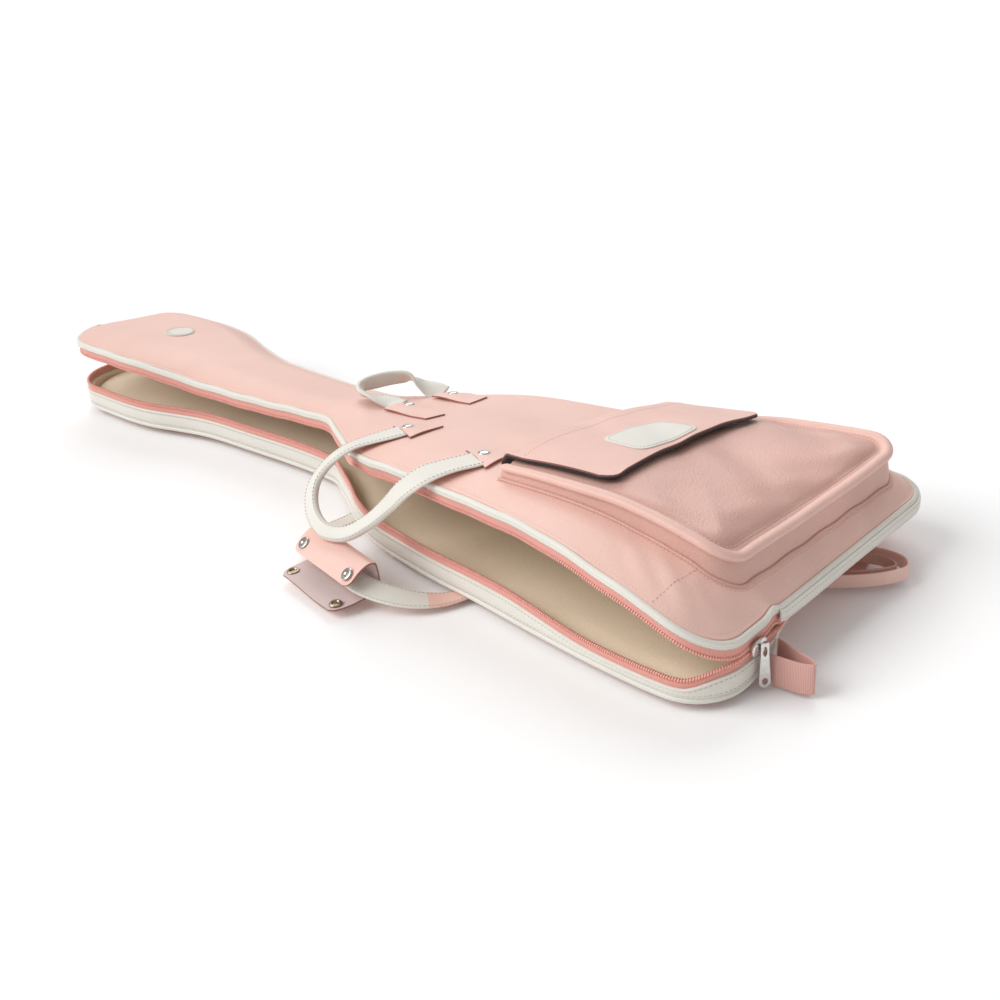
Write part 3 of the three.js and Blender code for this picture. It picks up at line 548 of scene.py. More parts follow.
HEAD_END, TAIL_END = -580, 593
HEAD_HALF, TAIL_HALF, HEAD_CORNER, TAIL_CORNER = 97, 203, 60, 50
PIPING = 3.2
PANEL_INSET = 3.5
HINGE_FROM, HINGE_TO = 60, 543
FLOOR_TO_BACK, TAPE_TOP, GUSSET_TOP = 8, 40, 33
BACK_LIFT = 38                            # the tail of the back turns up this far
side_width = through(
    [-520, -430, -395, -350, -315, -285, -230, -60, -34, -16, 2, 30, 62, 92, 122, 168, 225, 300,
     380, 450, 520, 543],
    [97, 97, 93, 82, 74, 70, 68, 68, 73, 83, 93, 109, 129, 143, 153, 162, 171, 179,
     190, 198, 203, 203])
near_edge = through(
    [-580, -520, -400, -350, -315, -280, -180, -100, -45, 25, 60, 92, 122, 168, 225, 300, 380, 435,
     480, 520, 552, 575, 593],
    [103, 104, 101, 93, 86, 84, 85, 89, 93, 95, 101, 109, 114, 119, 123, 125, 125, 120,
     110, 99, 87, 74, 63])
far_edge = through([-580, -430, -350, -280, 60, 300, 593], [80, 80, 71, 66, 65, 65, 63])
crown = through([-580, -430, -300, -60, 60, 200, 593], [13, 13, 11, 11, 15, 19, 20])


def half_width(x, inset=0.0):
    """Half the bag's width at x, on a line `inset` in from the outline."""
    x = np.asarray(x, float)
    slope = (side_width(x + 2) - side_width(x - 2)) / 4
    plain = side_width(x) - inset * np.sqrt(1 + slope * slope)
    head = HEAD_END + HEAD_CORNER - x
    tail = x - (TAIL_END - TAIL_CORNER)
    round_head = HEAD_HALF - HEAD_CORNER + np.sqrt(np.maximum((HEAD_CORNER - inset)**2 - head**2, 0))
    round_tail = TAIL_HALF - TAIL_CORNER + np.sqrt(np.maximum((TAIL_CORNER - inset)**2 - tail**2, 0))
    return np.where(head > 0, round_head, np.where(tail > 0, round_tail, plain))


def smoothstep(v, low, high):
    q = np.clip((np.asarray(v, float) - low) / (high - low), 0, 1)
    return q * q * (3 - 2 * q)


def roll(distance, reach):
    """Rises from 0 at an edge to 1 at `reach` from it, steeply at first."""
    q = np.clip(distance / reach, 0, 1)
    return 1 - (1 - q) * (1 - q)


def edge_height(x, t):
    """Height of the lid's edge, mixed from its near side (t = -1) and far side (t = 1)."""
    share = (t + 1) / 2
    return near_edge(x) * (1 - share) + far_edge(x) * share


def lid_top(x, y):
    """Height of the CAD lid's upper face."""
    half = half_width(np.clip(x, HEAD_END, TAIL_END), PANEL_INSET)
    t = np.clip(y / half, -1, 1)
    reach = np.minimum(np.where(y < 0, 100, 34), 0.7 * half)
    ends = roll(TAIL_END - PANEL_INSET - x, 55) * roll(x - HEAD_END - PANEL_INSET, 30)
    return edge_height(x, t) + 3 + crown(x) * roll(half - np.abs(y), reach) * ends


def back_lift(x, y):
    """How far the tail of the back shell is turned up."""
    return BACK_LIFT * smoothstep(x, 470, TAIL_END) * smoothstep(y, -145, -50)


class Rim:
    """The outline as points a few millimetres apart, from the far shoulder round the head, the
    near side and the tail to the far tail corner, then back along the sewn side."""

    def __init__(self, step=3.0):
        quarter = np.linspace(0, math.pi / 2, 40)
        head = HEAD_END + HEAD_CORNER - HEAD_CORNER * np.cos(quarter)
        tail = TAIL_END - TAIL_CORNER + TAIL_CORNER * np.sin(quarter)
        xs = np.concatenate([head, np.arange(-517, HINGE_TO - 1, 3.0), tail])
        near = np.column_stack([xs, -half_width(xs)])
        far = np.column_stack([xs, half_width(xs)])[::-1]
        tail_to_hinge = far[far[:, 0] >= HINGE_TO]
        zip_part = np.vstack([far[far[:, 0] <= HINGE_FROM], near, tail_to_hinge])
        sewn = far[(far[:, 0] > HINGE_FROM) & (far[:, 0] < HINGE_TO)]
        zip_length = np.linalg.norm(np.diff(zip_part, axis=0), axis=1).sum()
        everything = resample(np.vstack([zip_part, sewn]), step, closed=True)
        self.point = everything
        ahead = tangents(everything, closed=True)
        self.outward = np.stack([ahead[:, 1], -ahead[:, 0]], axis=1)
        self.zip_count = int(round(zip_length / step))
        self.t = np.clip(everything[:, 1] / np.maximum(half_width(everything[:, 0]), 1), -1, 1)
        self.x, self.y = everything[:, 0], everything[:, 1]

    def part(self, name):
        index = np.arange(len(self.point))
        if name == "zip":
            return index[:self.zip_count]
        if name == "sewn":
            return np.concatenate([index[self.zip_count - 1:], index[:1]])
        return index

    def rings(self, which, section, tuck):
        """section(i) gives arrays of offsets outwards and heights, for the points in i."""
        out, z = section(which)
        out = out - tuck[which][:, None]
        place = self.point[which][:, None, :] + self.outward[which][:, None, :] * out[..., None]
        return np.concatenate([place, z[..., None]], axis=-1)


rim = Rim()
whole, zipped, sewn = rim.part("all"), rim.part("zip"), rim.part("sewn")
straight = np.zeros(len(rim.point))
rim_height = (edge_height(rim.x, rim.t) + 0.4 * np.sin(rim.x / 11)
              + 0.7 * np.sin(rim.x / 27 + 0.5) * smoothstep(rim.x, -60, 120))
rim_lift = back_lift(rim.x, rim.y)
# The wall is lower where the near side sags open at the tail.
sag = np.where(rim.t > -0.99, 0, 11 * smoothstep(rim.x, 330, 470)
               * (1 - smoothstep(rim.x, 560, TAIL_END)))
piping_height = FLOOR_TO_BACK + PIPING + rim_lift
gusset_top = np.maximum(GUSSET_TOP, piping_height + PIPING + 1.5) - sag
tape_top = np.maximum(TAPE_TOP - sag, gusset_top + 1)
tucked = 5.5 * smoothstep(rim_lift, 8, 30)  # the turned-up wall lies in under the lid's edge
body_wave = 1.4 * np.sin(rim.x / 31) + 0.9 * np.sin(rim.x / 13 + 1.3)


def tube(radius, height, sides=12):
    """The section of a round cord on the rim."""
    turn = circle(sides)

    def section(i):
        out = radius * np.cos(turn)[None, :] + 0 * height[i][:, None]
        return out, height[i][:, None] + radius * np.sin(turn)[None, :]
    return section


def band(inner, outer, low, high, rows=6, bulge=0.0):
    """A strip between two heights, slightly rounded outwards by `bulge`."""
    share = np.linspace(0, 1, rows)

    def section(i):
        swell = bulge * np.sin(np.pi * share)
        z = low[i][:, None] + (high[i] - low[i])[:, None] * share[None, :]
        out = np.concatenate([outer + swell + 0 * z, (inner + swell + 0 * z)[:, ::-1]], axis=1)
        return out, np.concatenate([z, z[:, ::-1]], axis=1)
    return section


# ---------------------------------------------------------------- back shell
def stacked(x, y, z):
    return np.stack([x, y, z], axis=-1)


def spread_rows(xs, across, inset):
    """A grid over the outline: rows at xs, closer together near the sides."""
    t = np.sin(np.linspace(-np.pi / 2, np.pi / 2, across))
    x = np.repeat(xs[:, None], across, axis=1)
    return x, half_width(xs, inset)[:, None] * t[None, :]


def outline_xs(inset, step=7.0):
    """Places along the bag, close together at the rounded ends."""
    quarter = np.linspace(0, math.pi / 2, 14)
    head = HEAD_END + HEAD_CORNER - (HEAD_CORNER - inset) * np.cos(quarter)
    tail = TAIL_END - TAIL_CORNER + (TAIL_CORNER - inset) * np.sin(quarter)
    return np.concatenate([head[:-1], np.arange(HEAD_END + HEAD_CORNER, HINGE_TO, step), tail])


def along_rim(name, which, section, look, body, slot, tuck=straight, **ways):
    """A strip or a cord round a part of the rim."""
    return swept(name, rim.rings(which, section, tuck), look, body, slot, closed=which is whole, **ways)


def rim_stitches(name, which, outward, height, body, tuck=straight, **sizes):
    """A row of cream stitches along the rim, facing outwards."""
    place = rim.point[which] + rim.outward[which] * (outward - tuck[which][:, None])
    normals = np.column_stack([rim.outward[which], straight[which]])
    stitches(name, np.column_stack([place, height[which]]), normals, CREAM_THREAD, body, "cream_leather",
             **sizes)


x, y = spread_rows(outline_xs(PANEL_INSET - 1), 41, PANEL_INSET - 1)
lift = back_lift(x, y)
dimple = 0.25 * np.sin(x / 47) * np.sin(y / 39)
back_skin = slab("back_skin", stacked(x, y, FLOOR_TO_BACK + 2.4 + lift),
                 stacked(x, y, FLOOR_TO_BACK + lift + dimple), PINK, "back_shell")
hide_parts("back_panel")

x, y = spread_rows(outline_xs(PANEL_INSET + 1), 49, PANEL_INSET + 1)
lift = back_lift(x, y)
edge = half_width(x, PANEL_INSET + 1) - np.abs(y)
pad_top = FLOOR_TO_BACK + 3.2 + lift + (15.5 - 0.35 * lift) * (0.45 + 0.55 * roll(edge, 26))
pad_top += 0.9 * np.sin(x / 37 + y / 90) + 0.6 * np.sin(x / 17 - y / 23)
pad_top += 1.4 * np.exp(-((x - 30) / 40)**2) * np.sin(y / 11 + x / 19)
back_pad = slab("back_pad", stacked(x, y, pad_top), stacked(x, y, FLOOR_TO_BACK + 2.7 + lift),
                LINING, "back_shell")
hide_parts("back_foam", "back_lining")

back_piping = along_rim("back_piping_cord", whole, tube(PIPING, piping_height), CREAM, "back_shell",
                        "cream_leather", tucked)
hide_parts("back_piping")

low = piping_height + PIPING - 0.6
wall = band(-1.6, 1.7, low, gusset_top, 9, 1.1)
back_wall = along_rim("back_wall", whole, wall, CREAM, "back_shell", "cream_leather", tucked)
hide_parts("back_gusset")
rim_stitches("back_wall_stitches_low", whole, 2.35, low + 3.2, "back_shell", tucked, closed=True)
rim_stitches("back_wall_stitches_high", zipped, 2.2, gusset_top - 2.6, "back_shell", tucked)
binding = band(-2.4, 2.5, gusset_top - 1.6, gusset_top + 1.2, 5, 0.5)
along_rim("back_wall_binding", zipped, binding, CREAM, "back_shell", "cream_leather", tucked)

inner = band(-4.4, -2.6, FLOOR_TO_BACK + 10 + rim_lift, gusset_top + 0.6, 6, -0.6)
along_rim("back_inner_wall", whole, inner, LINING, "back_shell", "beige_lining")
lower_tape = band(-0.9, 0.5, gusset_top, tape_top + 1.0, 4)
tape_back = along_rim("zip_tape_lower", zipped, lower_tape, TAPE, "back_shell", "pink_zip", tucked * 0.6)
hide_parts("zip_tape_back")


def coil_run(name, height, shift, body, node, pitch=2.7, per_turn=8):
    """A zip's moulded coil: a fine flattened helix along the rim, on a square cord."""
    centre = rim.point[zipped] + rim.outward[zipped] * shift[zipped][:, None]
    line = np.column_stack([centre, height[zipped], rim.outward[zipped]])
    line = resample(line, pitch / per_turn)
    turn = 2 * np.pi * np.arange(len(line)) / per_turn
    outward = np.column_stack([unit(line[:, 3:5]), np.zeros(len(line))])
    upward = np.array([0, 0, 1])
    route = line[:, :3] + outward * (1.5 * np.cos(turn))[:, None] + upward * (1.7 * np.sin(turn))[:, None]
    ahead = tangents(route)
    side = unit(np.cross(ahead, upward))
    wire = [(math.cos(a) * 0.72, math.sin(a) * 0.72) for a in (0.4, 1.97, 3.54, 5.11)]
    teeth = swept(name, around(route, side, np.cross(side, ahead), wire), COIL, body, "pink_zip")
    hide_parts(node)
    square = [(-0.9, -1.0), (0.9, -1.0), (0.9, 1.0), (-0.9, 1.0)]
    cord = around(line[::per_turn, :3], outward[::per_turn], upward, square)
    swept(name + "_cord", cord, TAPE, body, "pink_zip")


coil_run("zip_coil_lower", tape_top + 2.3, straight, "back_shell", "zip_coil_back")

# ---------------------------------------------------------------- lid
lid_xs = outline_xs(PANEL_INSET - 1.5, 5.0)
x, y = spread_rows(lid_xs, 81, PANEL_INSET - 1.5)


def lid_folds(x, y):
    """Shallow waves and dents in the soft skin, strongest near the shoulders and handles."""
    half = half_width(x, PANEL_INSET)
    quiet = roll(half - np.abs(y), 30)
    folds = 0.8 * np.sin(x / 61 + y / 120) * np.sin(y / 53 - x / 210)
    folds += 1.1 * np.exp(-((x - 190) / 90)**2) * np.sin((y + 0.25 * x) / 19)
    folds += 1.6 * np.exp(-((x + 20) / 55)**2 - ((y + 50) / 45)**2) * np.sin((x + y) / 12)
    folds -= 3.0 * np.exp(-((x - 556) / 17)**2 - ((y + 152) / 17)**2)
    folds += 0.7 * np.exp(-((x + 420) / 90)**2) * np.sin(y / 24 + x / 70)
    folds += 1.0 * np.exp(-((x - 520) / 45)**2 - ((y + 170) / 26)**2) * np.sin((x + 1.4 * y) / 6.5)
    folds += 0.9 * np.exp(-((x - 575) / 14)**2) * np.sin(y / 9 + x / 13)
    return folds * quiet


def pinch(x, y):
    """The bound edge stands up in a kink where the cover over the closed zip begins."""
    return 5 * np.exp(-((y + 104) / 9)**2) * np.exp(-((x - 592) / 12)**2)


def skin_z(x, y):
    """Height of the lid's soft skin."""
    return lid_top(x, y) + lid_folds(x, y) + pinch(x, y)


lid_z = skin_z(x, y)
rim_height = rim_height + pinch(rim.x, rim.y)
t = np.clip(y / half_width(x, PANEL_INSET), -1, 1)
under = edge_height(x, t) - 1.2
lid_skin = slab("lid_skin", stacked(x, y, lid_z), stacked(x, y, np.minimum(under, lid_z - 2)), PINK,
                "lid")
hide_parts("lid_panel", "lid_foam")

x, y = spread_rows(outline_xs(PANEL_INSET + 0.5), 49, PANEL_INSET + 0.5)
t = np.clip(y / half_width(x, PANEL_INSET), -1, 1)
edge = half_width(x, PANEL_INSET) - np.abs(y)
inside = edge_height(x, t) - 3.2 - 3.5 * roll(edge, 40) + 0.9 * np.sin(x / 33) * np.sin(y / 41)
lid_inside = slab("lid_inside", stacked(x, y, edge_height(x, t) - 1.4), stacked(x, y, inside), LINING,
                  "lid")
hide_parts("lid_lining")

# The lid's near side is soft, so its tape sways and its coil with it.
wavy = np.where((rim.y < 0) & (rim.x > -150) & (rim.x < 560), body_wave, 0.25 * body_wave)
near_side = smoothstep(-rim.t, 0.9, 1.0) * smoothstep(rim.x, 40, 110) * (1 - smoothstep(rim.x, 545, 590))
lid_piping = along_rim("lid_piping_cord", whole, tube(PIPING, rim_height), CREAM, "lid", "cream_leather")
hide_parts("lid_piping")
bind_low = rim_height - 5.2
lid_bound = band(-1.2, 1.9, bind_low, rim_height - 1.2, 6, 0.8)
along_rim("lid_binding", whole, lid_bound, CREAM, "lid", "cream_leather")
rim_stitches("lid_binding_stitches", whole, 2.55, rim_height - 4.9, "lid", length=2.8, gap=1.6,
             radius=0.36, closed=True)
stitches("lid_edge_stitches", laid_on(skin_z, rim.point - rim.outward * 6.5, 0.1), np.array([0, 0, 1.0]),
         PALE_THREAD, "lid", "pink_leather", length=2.6, gap=1.8, radius=0.3, closed=True)

droop = wavy * near_side
tape_low = rim_height - 12.8 + 0.8 * droop
tape_shift = 0.9 * droop


def drooping(inner, outer, low, high, rows=6):
    """A strip whose lower edge sways in and out."""
    share = np.linspace(0, 1, rows)

    def section(i):
        z = low[i][:, None] + (high[i] - low[i])[:, None] * share[None, :]
        shift = tape_shift[i][:, None] * (1 - share)[None, :]
        out = np.concatenate([outer + shift, (inner + shift)[:, ::-1]], axis=1)
        return out, np.concatenate([z, z[:, ::-1]], axis=1)
    return section


upper_tape = drooping(-0.8, 0.6, tape_low - 0.6, bind_low + 1)
tape_lid = along_rim("zip_tape_upper", zipped, upper_tape, TAPE, "lid", "pink_zip")
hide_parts("zip_tape_lid")
coil_run("zip_coil_upper", tape_low - 2.2, tape_shift, "lid", "zip_coil_lid")

# Sewn side: one strip of cream leather.
sewn_strip = band(-1.2, 0.9, gusset_top - 1.5, rim_height - 5.0, 14, 0.8)
sewn_side = along_rim("sewn_side", sewn, sewn_strip, CREAM, None, "cream_leather")
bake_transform(sewn_side)
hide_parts("hinge_gusset_back", "hinge_gusset_lid")

# Cover over the closed zip round the tail.
cover = whole[(rim.x > HINGE_TO + 8) & (rim.y > -99)]
cover = cover[np.argsort(rim.y[cover])]
cover_low = rim_height - 12.5 + 0.6 * np.sin(rim.y / 29)
cover_strip = band(3.3, 5.0, cover_low, rim_height - 0.4, 8, 0.7)
tail_cover = along_rim("tail_cover_band", cover, cover_strip, CREAM, "lid", "cream_leather", sharp=60)
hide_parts("tail_cover")
rim_stitches("tail_cover_stitches", cover, 5.5, rim_height - 3.6, "lid", radius=0.36)
rim_stitches("tail_cover_stitches_low", cover, 5.3, cover_low + 2.4, "lid", radius=0.36)


def lid_stitches(name, points, look=PALE_THREAD, above=0.1, closed=False, **sizes):
    return stitches_on(skin_z, name, resample(points, 4, closed), look, "lid", "pink_leather", above,
                       closed=closed, **sizes)


# Nearly round badge, plain, with a raised rim.
ROUND = circle(48)
BADGE = {"x": -437, "y": 4, "half_length": 19, "half_width": 20, "seam": 1.6}
BADGE_RINGS = ((1.0, 0.1), (1.0, 1.2), (0.96, 1.6), (0.88, 1.55), (0.85, 1.1), (0.5, 1.15), (0.02, 1.2))


def badge_line(share=1.0, inset=0.0):
    """An oval inside the edge of the badge."""
    return np.column_stack([BADGE["x"] + (BADGE["half_length"] - inset) * share * np.cos(ROUND),
                            BADGE["y"] + (BADGE["half_width"] - inset) * share * np.sin(ROUND)])


badge = swept("badge_oval", [laid_on(skin_z, badge_line(share), above) for share, above in BADGE_RINGS],
              CREAM, "lid", "cream_leather", sharp=50)
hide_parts("head_badge")
lid_stitches("badge_stitches", badge_line(inset=BADGE["seam"]), CREAM_THREAD, 1.75, True, length=1.8,
             gap=1.2, radius=0.3)

# ---------------------------------------------------------------- pocket
POCKET = {"from": 303, "to": 570, "near": -138, "far": 174, "corner": 30}
pocket_mid = (POCKET["far"] + POCKET["near"]) / 2
pocket_half = (POCKET["far"] - POCKET["near"]) / 2


def pocket_inset(x, y):
    """Distance in from the pocket's three closed sides, with rounded corners at the tail."""
    r = POCKET["corner"]
    across = pocket_half - np.abs(y - pocket_mid)
    tail = POCKET["to"] - x
    corner = r - np.hypot(np.maximum(r - across, 0), np.maximum(r - tail, 0))
    return np.where((across < r) & (tail < r), corner, np.minimum(across, tail))


def pocket_rise(x, y):
    """How far the pocket's front stands over the lid."""
    inset = pocket_inset(x, y)
    along = smoothstep(x, POCKET["from"], POCKET["to"])
    far = smoothstep(y, 40, POCKET["far"])
    border = 7 + (15 + 6 * far) * along
    wall = roll(inset, 5)
    seam = -1.8 * np.exp(-((inset - 13) / 3.5)**2)
    body = 9 * roll(inset - 12, 100) * (inset > 12)
    slack = 2.2 * along * np.sin(y / 26 + x / 60) * np.sin(x / 38 - y / 70) * roll(inset - 14, 40)
    slack += 1.5 * np.exp(-((inset - 26) / 16)**2) * np.sin((x - y) / 13) * along
    slack += 1.3 * np.sin((x + 0.6 * y) / 17 + np.sin(y / 23)) * np.sin(y / 41 + 1) * roll(inset - 14, 30)
    return border * wall + np.where(inset > 6, seam + body + slack * (inset > 14), 0)


def pocket_z(x, y):
    """Height of the pocket's front."""
    return lid_top(x, y) + 1.2 + 2.4 + pocket_rise(x, y)


share = np.sin(np.linspace(0, np.pi / 2, 90))
px = POCKET["from"] + (POCKET["to"] - POCKET["from"]) * share
tail = np.maximum(px - (POCKET["to"] - POCKET["corner"]), 0)
narrow = POCKET["corner"] - np.sqrt(np.maximum(POCKET["corner"]**2 - tail**2, 0))
across = np.sin(np.linspace(-np.pi / 2, np.pi / 2, 141))
x = np.repeat(px[:, None], len(across), axis=1)
y = pocket_mid + (pocket_half - narrow)[:, None] * across[None, :]
top = pocket_z(x, y)
foot = lid_top(x, y) + 0.4 + lid_folds(x, y)
# The pocket's front takes the grained pink, whose darker tone is partly painted shade.
pocket = slab("pocket_front", stacked(x, y, top), stacked(x, y, np.minimum(foot, top - 1)),
              [PINK_GRAIN_SHADED, PINK_GRAIN_SHADED], "lid", sharp=70)
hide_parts("pocket", "pocket_lining")


def pocket_track(inset, step=3.0):
    """A line that keeps the same distance in from the pocket's closed sides."""
    r = POCKET["corner"] - inset
    near, far, to = POCKET["near"] + inset, POCKET["far"] - inset, POCKET["to"] - inset
    quarter = np.linspace(0, np.pi / 2, 16)
    first = np.column_stack([to - r + r * np.sin(quarter), near + r - r * np.cos(quarter)])
    second = np.column_stack([to - r + r * np.cos(quarter), far - r + r * np.sin(quarter)])
    points = np.vstack([[(POCKET["from"] - 2, near)], first, second, [(POCKET["from"] - 2, far)]])
    return resample(points, step)


# The front's edge is a rolled border that stands out over the wall below it.
track = pocket_track(3.6)
border_z = pocket_z(track[:, 0], track[:, 1]) + 1.4 + 0.5 * np.sin(np.arange(len(track)) / 7.0)
line = np.column_stack([track, border_z])
ahead = tangents(line)
side = unit(np.cross(ahead, (0, 0, 1)))
from_end = np.minimum(np.arange(len(track)), np.arange(len(track))[::-1])
fat = (0.82 + 0.18 * smoothstep(track[:, 0], 310, 420)) * np.sqrt(np.clip((from_end + 0.3) / 2.2, 0, 1))
# The border takes the darker pink leather, which carries painted shade.
swept("pocket_border", around(line, side, np.cross(side, ahead), oval(6.4, 5.0, 20), fat[:, None]),
      PINK_SHADED, "lid", "pink_leather")
stitches_on(pocket_z, "pocket_stitches", pocket_track(13), PALE_THREAD, "lid", "pink_leather", 0.3, 1.5,
            length=2.6, gap=1.7, radius=0.38)
track = pocket_track(-1.2)
line = laid_on(skin_z, track, 1.0)
up = normals_of(skin_z, track[:, 0], track[:, 1])
swept("pocket_base_seam", around(line, unit(np.cross(tangents(line), up)), up, oval(2.0, 1.7, 10)),
      PINK_GRAIN_SHADED, "lid", "pink_leather")
lid_stitches("pocket_base_stitches", pocket_track(-4.2), PINK_THREAD, length=2.6, gap=1.9, radius=0.3)
lid_stitches("lid_corner_seam", [(538, -140), (533, -165), (530, -196)], PINK_THREAD, radius=0.3)

# ---------------------------------------------------------------- flap over the pocket's mouth
FLAP = {"from": 290, "to": 424, "near": -122, "far": 155}
FLAP_SKEW = 5                             # how far its front edge runs out of square to each side
flap_reach = FLAP["to"] - FLAP["from"]
flap_mid = (FLAP["far"] + FLAP["near"]) / 2
flap_half = (FLAP["far"] - FLAP["near"]) / 2


def flap_foot(x, y):
    """Height of the underside of the flap, resting on the pocket."""
    reach = np.maximum(x, POCKET["from"])
    climb = roll(x - FLAP["from"], 11)
    near_border = 4.6 * np.exp(-((pocket_inset(reach, y) - 6) / 9)**2)
    over = pocket_z(reach, y) - lid_top(reach, y) + near_border * smoothstep(x, 300, 312)
    spring = 4 * roll(x - FLAP["from"] - 12, 90)
    curl = 5 * np.exp(-((y - FLAP["near"]) / 9)**2) * np.exp(-((x - 292) / 16)**2)
    wave = 1.4 * np.sin(y / 37 + 0.6) * smoothstep(x, 330, 424)
    return lid_top(x, y) + 1.4 + climb * (over + 1.2 + spring) + curl + wave


s = np.linspace(0, 1, 45)[:, None]
t = np.linspace(-1, 1, 81)[None, :]
corner_cut = 16 * np.maximum(0, np.abs(t) - 0.9)**2 / 0.01
fx = FLAP["from"] + flap_reach * s - FLAP_SKEW * s * t - corner_cut * s * s
fy = flap_mid + flap_half * t * (1 - 0.015 * s * s)
fz = flap_foot(fx, fy)
# The flap's leather is the darker pink, with painted shade for its slope.
flap = slab("flap_leather", stacked(fx, fy, fz + 3.6), stacked(fx, fy, fz + 1.7), [PINK_SHADED, CUT_EDGE],
            "flap", edge_look=1)
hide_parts("pocket_flap")
swell = 0.6
lining = slab("flap_lining_cloth", stacked(fx + swell * s, fy + swell * t, fz + 1.6),
              stacked(fx + swell * s, fy + swell * t, fz - 0.6), BLACK_CLOTH, "flap")
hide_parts("flap_lining")

t = np.linspace(-0.96, 0.96, 60)
seam = np.column_stack([FLAP["from"] + flap_reach * 0.2 - FLAP_SKEW * 0.2 * t, flap_mid + flap_half * t])
stitches_on(flap_foot, "flap_stitches", resample(seam, 4), PALE_THREAD, "flap", "pink_leather", 3.7,
            length=2.6, gap=1.7, radius=0.36)

# Plain rounded patch.
PATCH = {"x": 389, "y": -6, "half_length": 29, "half_width": 48, "corner": 5.5, "seam": 3}
PATCH_RINGS = ((1.0, 3.6), (1.0, 4.7), (0.97, 5.0), (0.75, 5.05), (0.4, 5.05), (0.02, 5.05))


def patch_line(share=1.0, inset=0.0):
    """A rounded rectangle inside the edge of the patch."""
    out = squared(ROUND, PATCH["corner"]) * share
    return np.column_stack([PATCH["x"] + (PATCH["half_length"] - inset) * np.cos(ROUND) * out,
                            PATCH["y"] + (PATCH["half_width"] - inset) * np.sin(ROUND) * out])


patch = swept("flap_patch_leather", [laid_on(flap_foot, patch_line(share), above)
                                     for share, above in PATCH_RINGS],
              CREAM, "flap", "cream_leather", sharp=50)
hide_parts("flap_patch")
stitches_on(flap_foot, "flap_patch_stitches", resample(patch_line(inset=PATCH["seam"]), 3, True),
            CREAM_THREAD, "flap", "cream_leather", 5.15, length=1.9, gap=1.3, radius=0.3, closed=True)

# ---------------------------------------------------------------- handles
STRAP_SIDES = 20


def strap(name, stops, flat, grip, body, count=150, pink_under=True):
    """A folded leather strap: flat at its ends, narrow and thick at the grip."""
    line, side, face = laid_route(stops, count)
    share = smoothstep(np.minimum(np.arange(count), np.arange(count)[::-1]) / count, 0.12, 0.36)
    width = flat[0] + (grip[0] - flat[0]) * share
    thick = flat[1] + (grip[1] - flat[1]) * share
    turn = circle(STRAP_SIDES)
    a, b = flat_section(turn, 0.45, 0.8)
    rings = (line[:, None, :] + side[:, None, :] * (a[None, :] * width[:, None] / 2)[..., None]
             + face[:, None, :] * (b[None, :] * thick[:, None] / 2)[..., None])
    kinds = [int(pink_under and math.sin(v + np.pi / STRAP_SIDES) < -0.2) for v in turn]
    made = swept(name, rings, [CREAM, PINK], body, "cream_leather", kinds=kinds)
    return made, line, side, face, width, thick


def bends(things):
    """Bakes each piece's placement into its points."""
    for thing in things:
        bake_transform(thing)


def strap_stitches(name, parts, share, over, body, trim=4):
    """A row of stitches on a strap's face, `share` of its half width from the middle."""
    _, line, side, face, width, thick = parts
    line = line + side * (width * share / 2)[:, None] + face * (thick * over / 2)[:, None]
    return stitches(name, line[trim:-trim], face[trim:-trim], CREAM_THREAD, body, "cream_leather",
                    length=2.8, gap=1.7, radius=0.38)


def top_of(x, y, lift, *width):
    """A stop of a strap that lies on the lid, with the direction of its width."""
    return (x, y, float(lid_top(x, y)) + lift, *width)


near_stops = [
    top_of(113, -88, 2.6, 0.9, -0.4, 0.1),
    top_of(108, -102, 3.4, 0.9, -0.4, 0.1),
    top_of(95, -122, 5.0, 0.87, -0.49, 0.15),
    (82, -146, 116, 0.9, -0.3, 0.25),
    (72, -170, 103, 0.9, -0.1, 0.4),
    (72, -192, 87, 0.75, 0.2, 0.6),
    (88, -211, 69, 0.3, 0.5, 0.8),
    (117, -222, 59, -0.1, 0.6, 0.8),
    (146, -218, 61, -0.5, 0.6, 0.6),
    (172, -206, 77, -0.75, 0.5, 0.45),
    (196, -197, 100, -0.85, 0.35, 0.35),
    (215, -189, 121, -0.9, 0.4, 0.2),
    (230, -172, 134, -0.9, 0.4, 0.1),
    top_of(241, -150, 6.6, -0.92, 0.38, 0),
    top_of(252, -127, 3.6, -0.93, 0.35, 0),
    top_of(255, -116, 2.6, -0.93, 0.35, 0),
]
near_parts = strap("near_handle_strap", near_stops, (34, 3.6), (17.5, 9), None)
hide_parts("near_handle")
near_seams = [strap_stitches(f"near_handle_stitches_{tag}", near_parts, share, 0.9, None)
              for tag, share in (("a", -0.8), ("b", 0.8))]
bends((near_parts[0], *near_seams))

far_stops = [
    top_of(14, -2, 2.6, -0.2, -0.95, 0),
    top_of(3, -4, 4.4, -0.2, -0.95, 0),
    top_of(-16, -12, 9, -0.1, -0.95, 0.3),
    (-38, -15, 109, 0.2, -0.7, 0.75),
    (-50, -4, 111, 0.4, -0.2, 0.95),
    (-44, 14, 112, 0.1, 0.1, 1),
    (-34, 33, 112, 0.1, -0.2, 1),
    (-22, 48, 110, 0.1, -0.7, 0.8),
    top_of(-10, 58, 16, 0.1, -0.9, 0.2),
    top_of(8, 64, 7, 0.1, -1, -0.4),
    top_of(18, 66, 3.2, 0.1, -1, -0.4),
]
far_parts = strap("far_handle_strap", far_stops, (28, 3.6), (19, 7), "far_grip", 110, pink_under=False)
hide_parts("far_handle")
strap_stitches("far_handle_stitches", far_parts, -0.8, 0.9, "far_grip")

TAB_SWELL = 4.2                           # how far a tab rises over the end of its strap
RIVET_PROFILE = [(5.0, -1.0), (6.6, -0.2), (6.6, 0.5), (6.2, 1.1), (4.8, 1.8), (2.6, 2.3), (0, 2.45)]


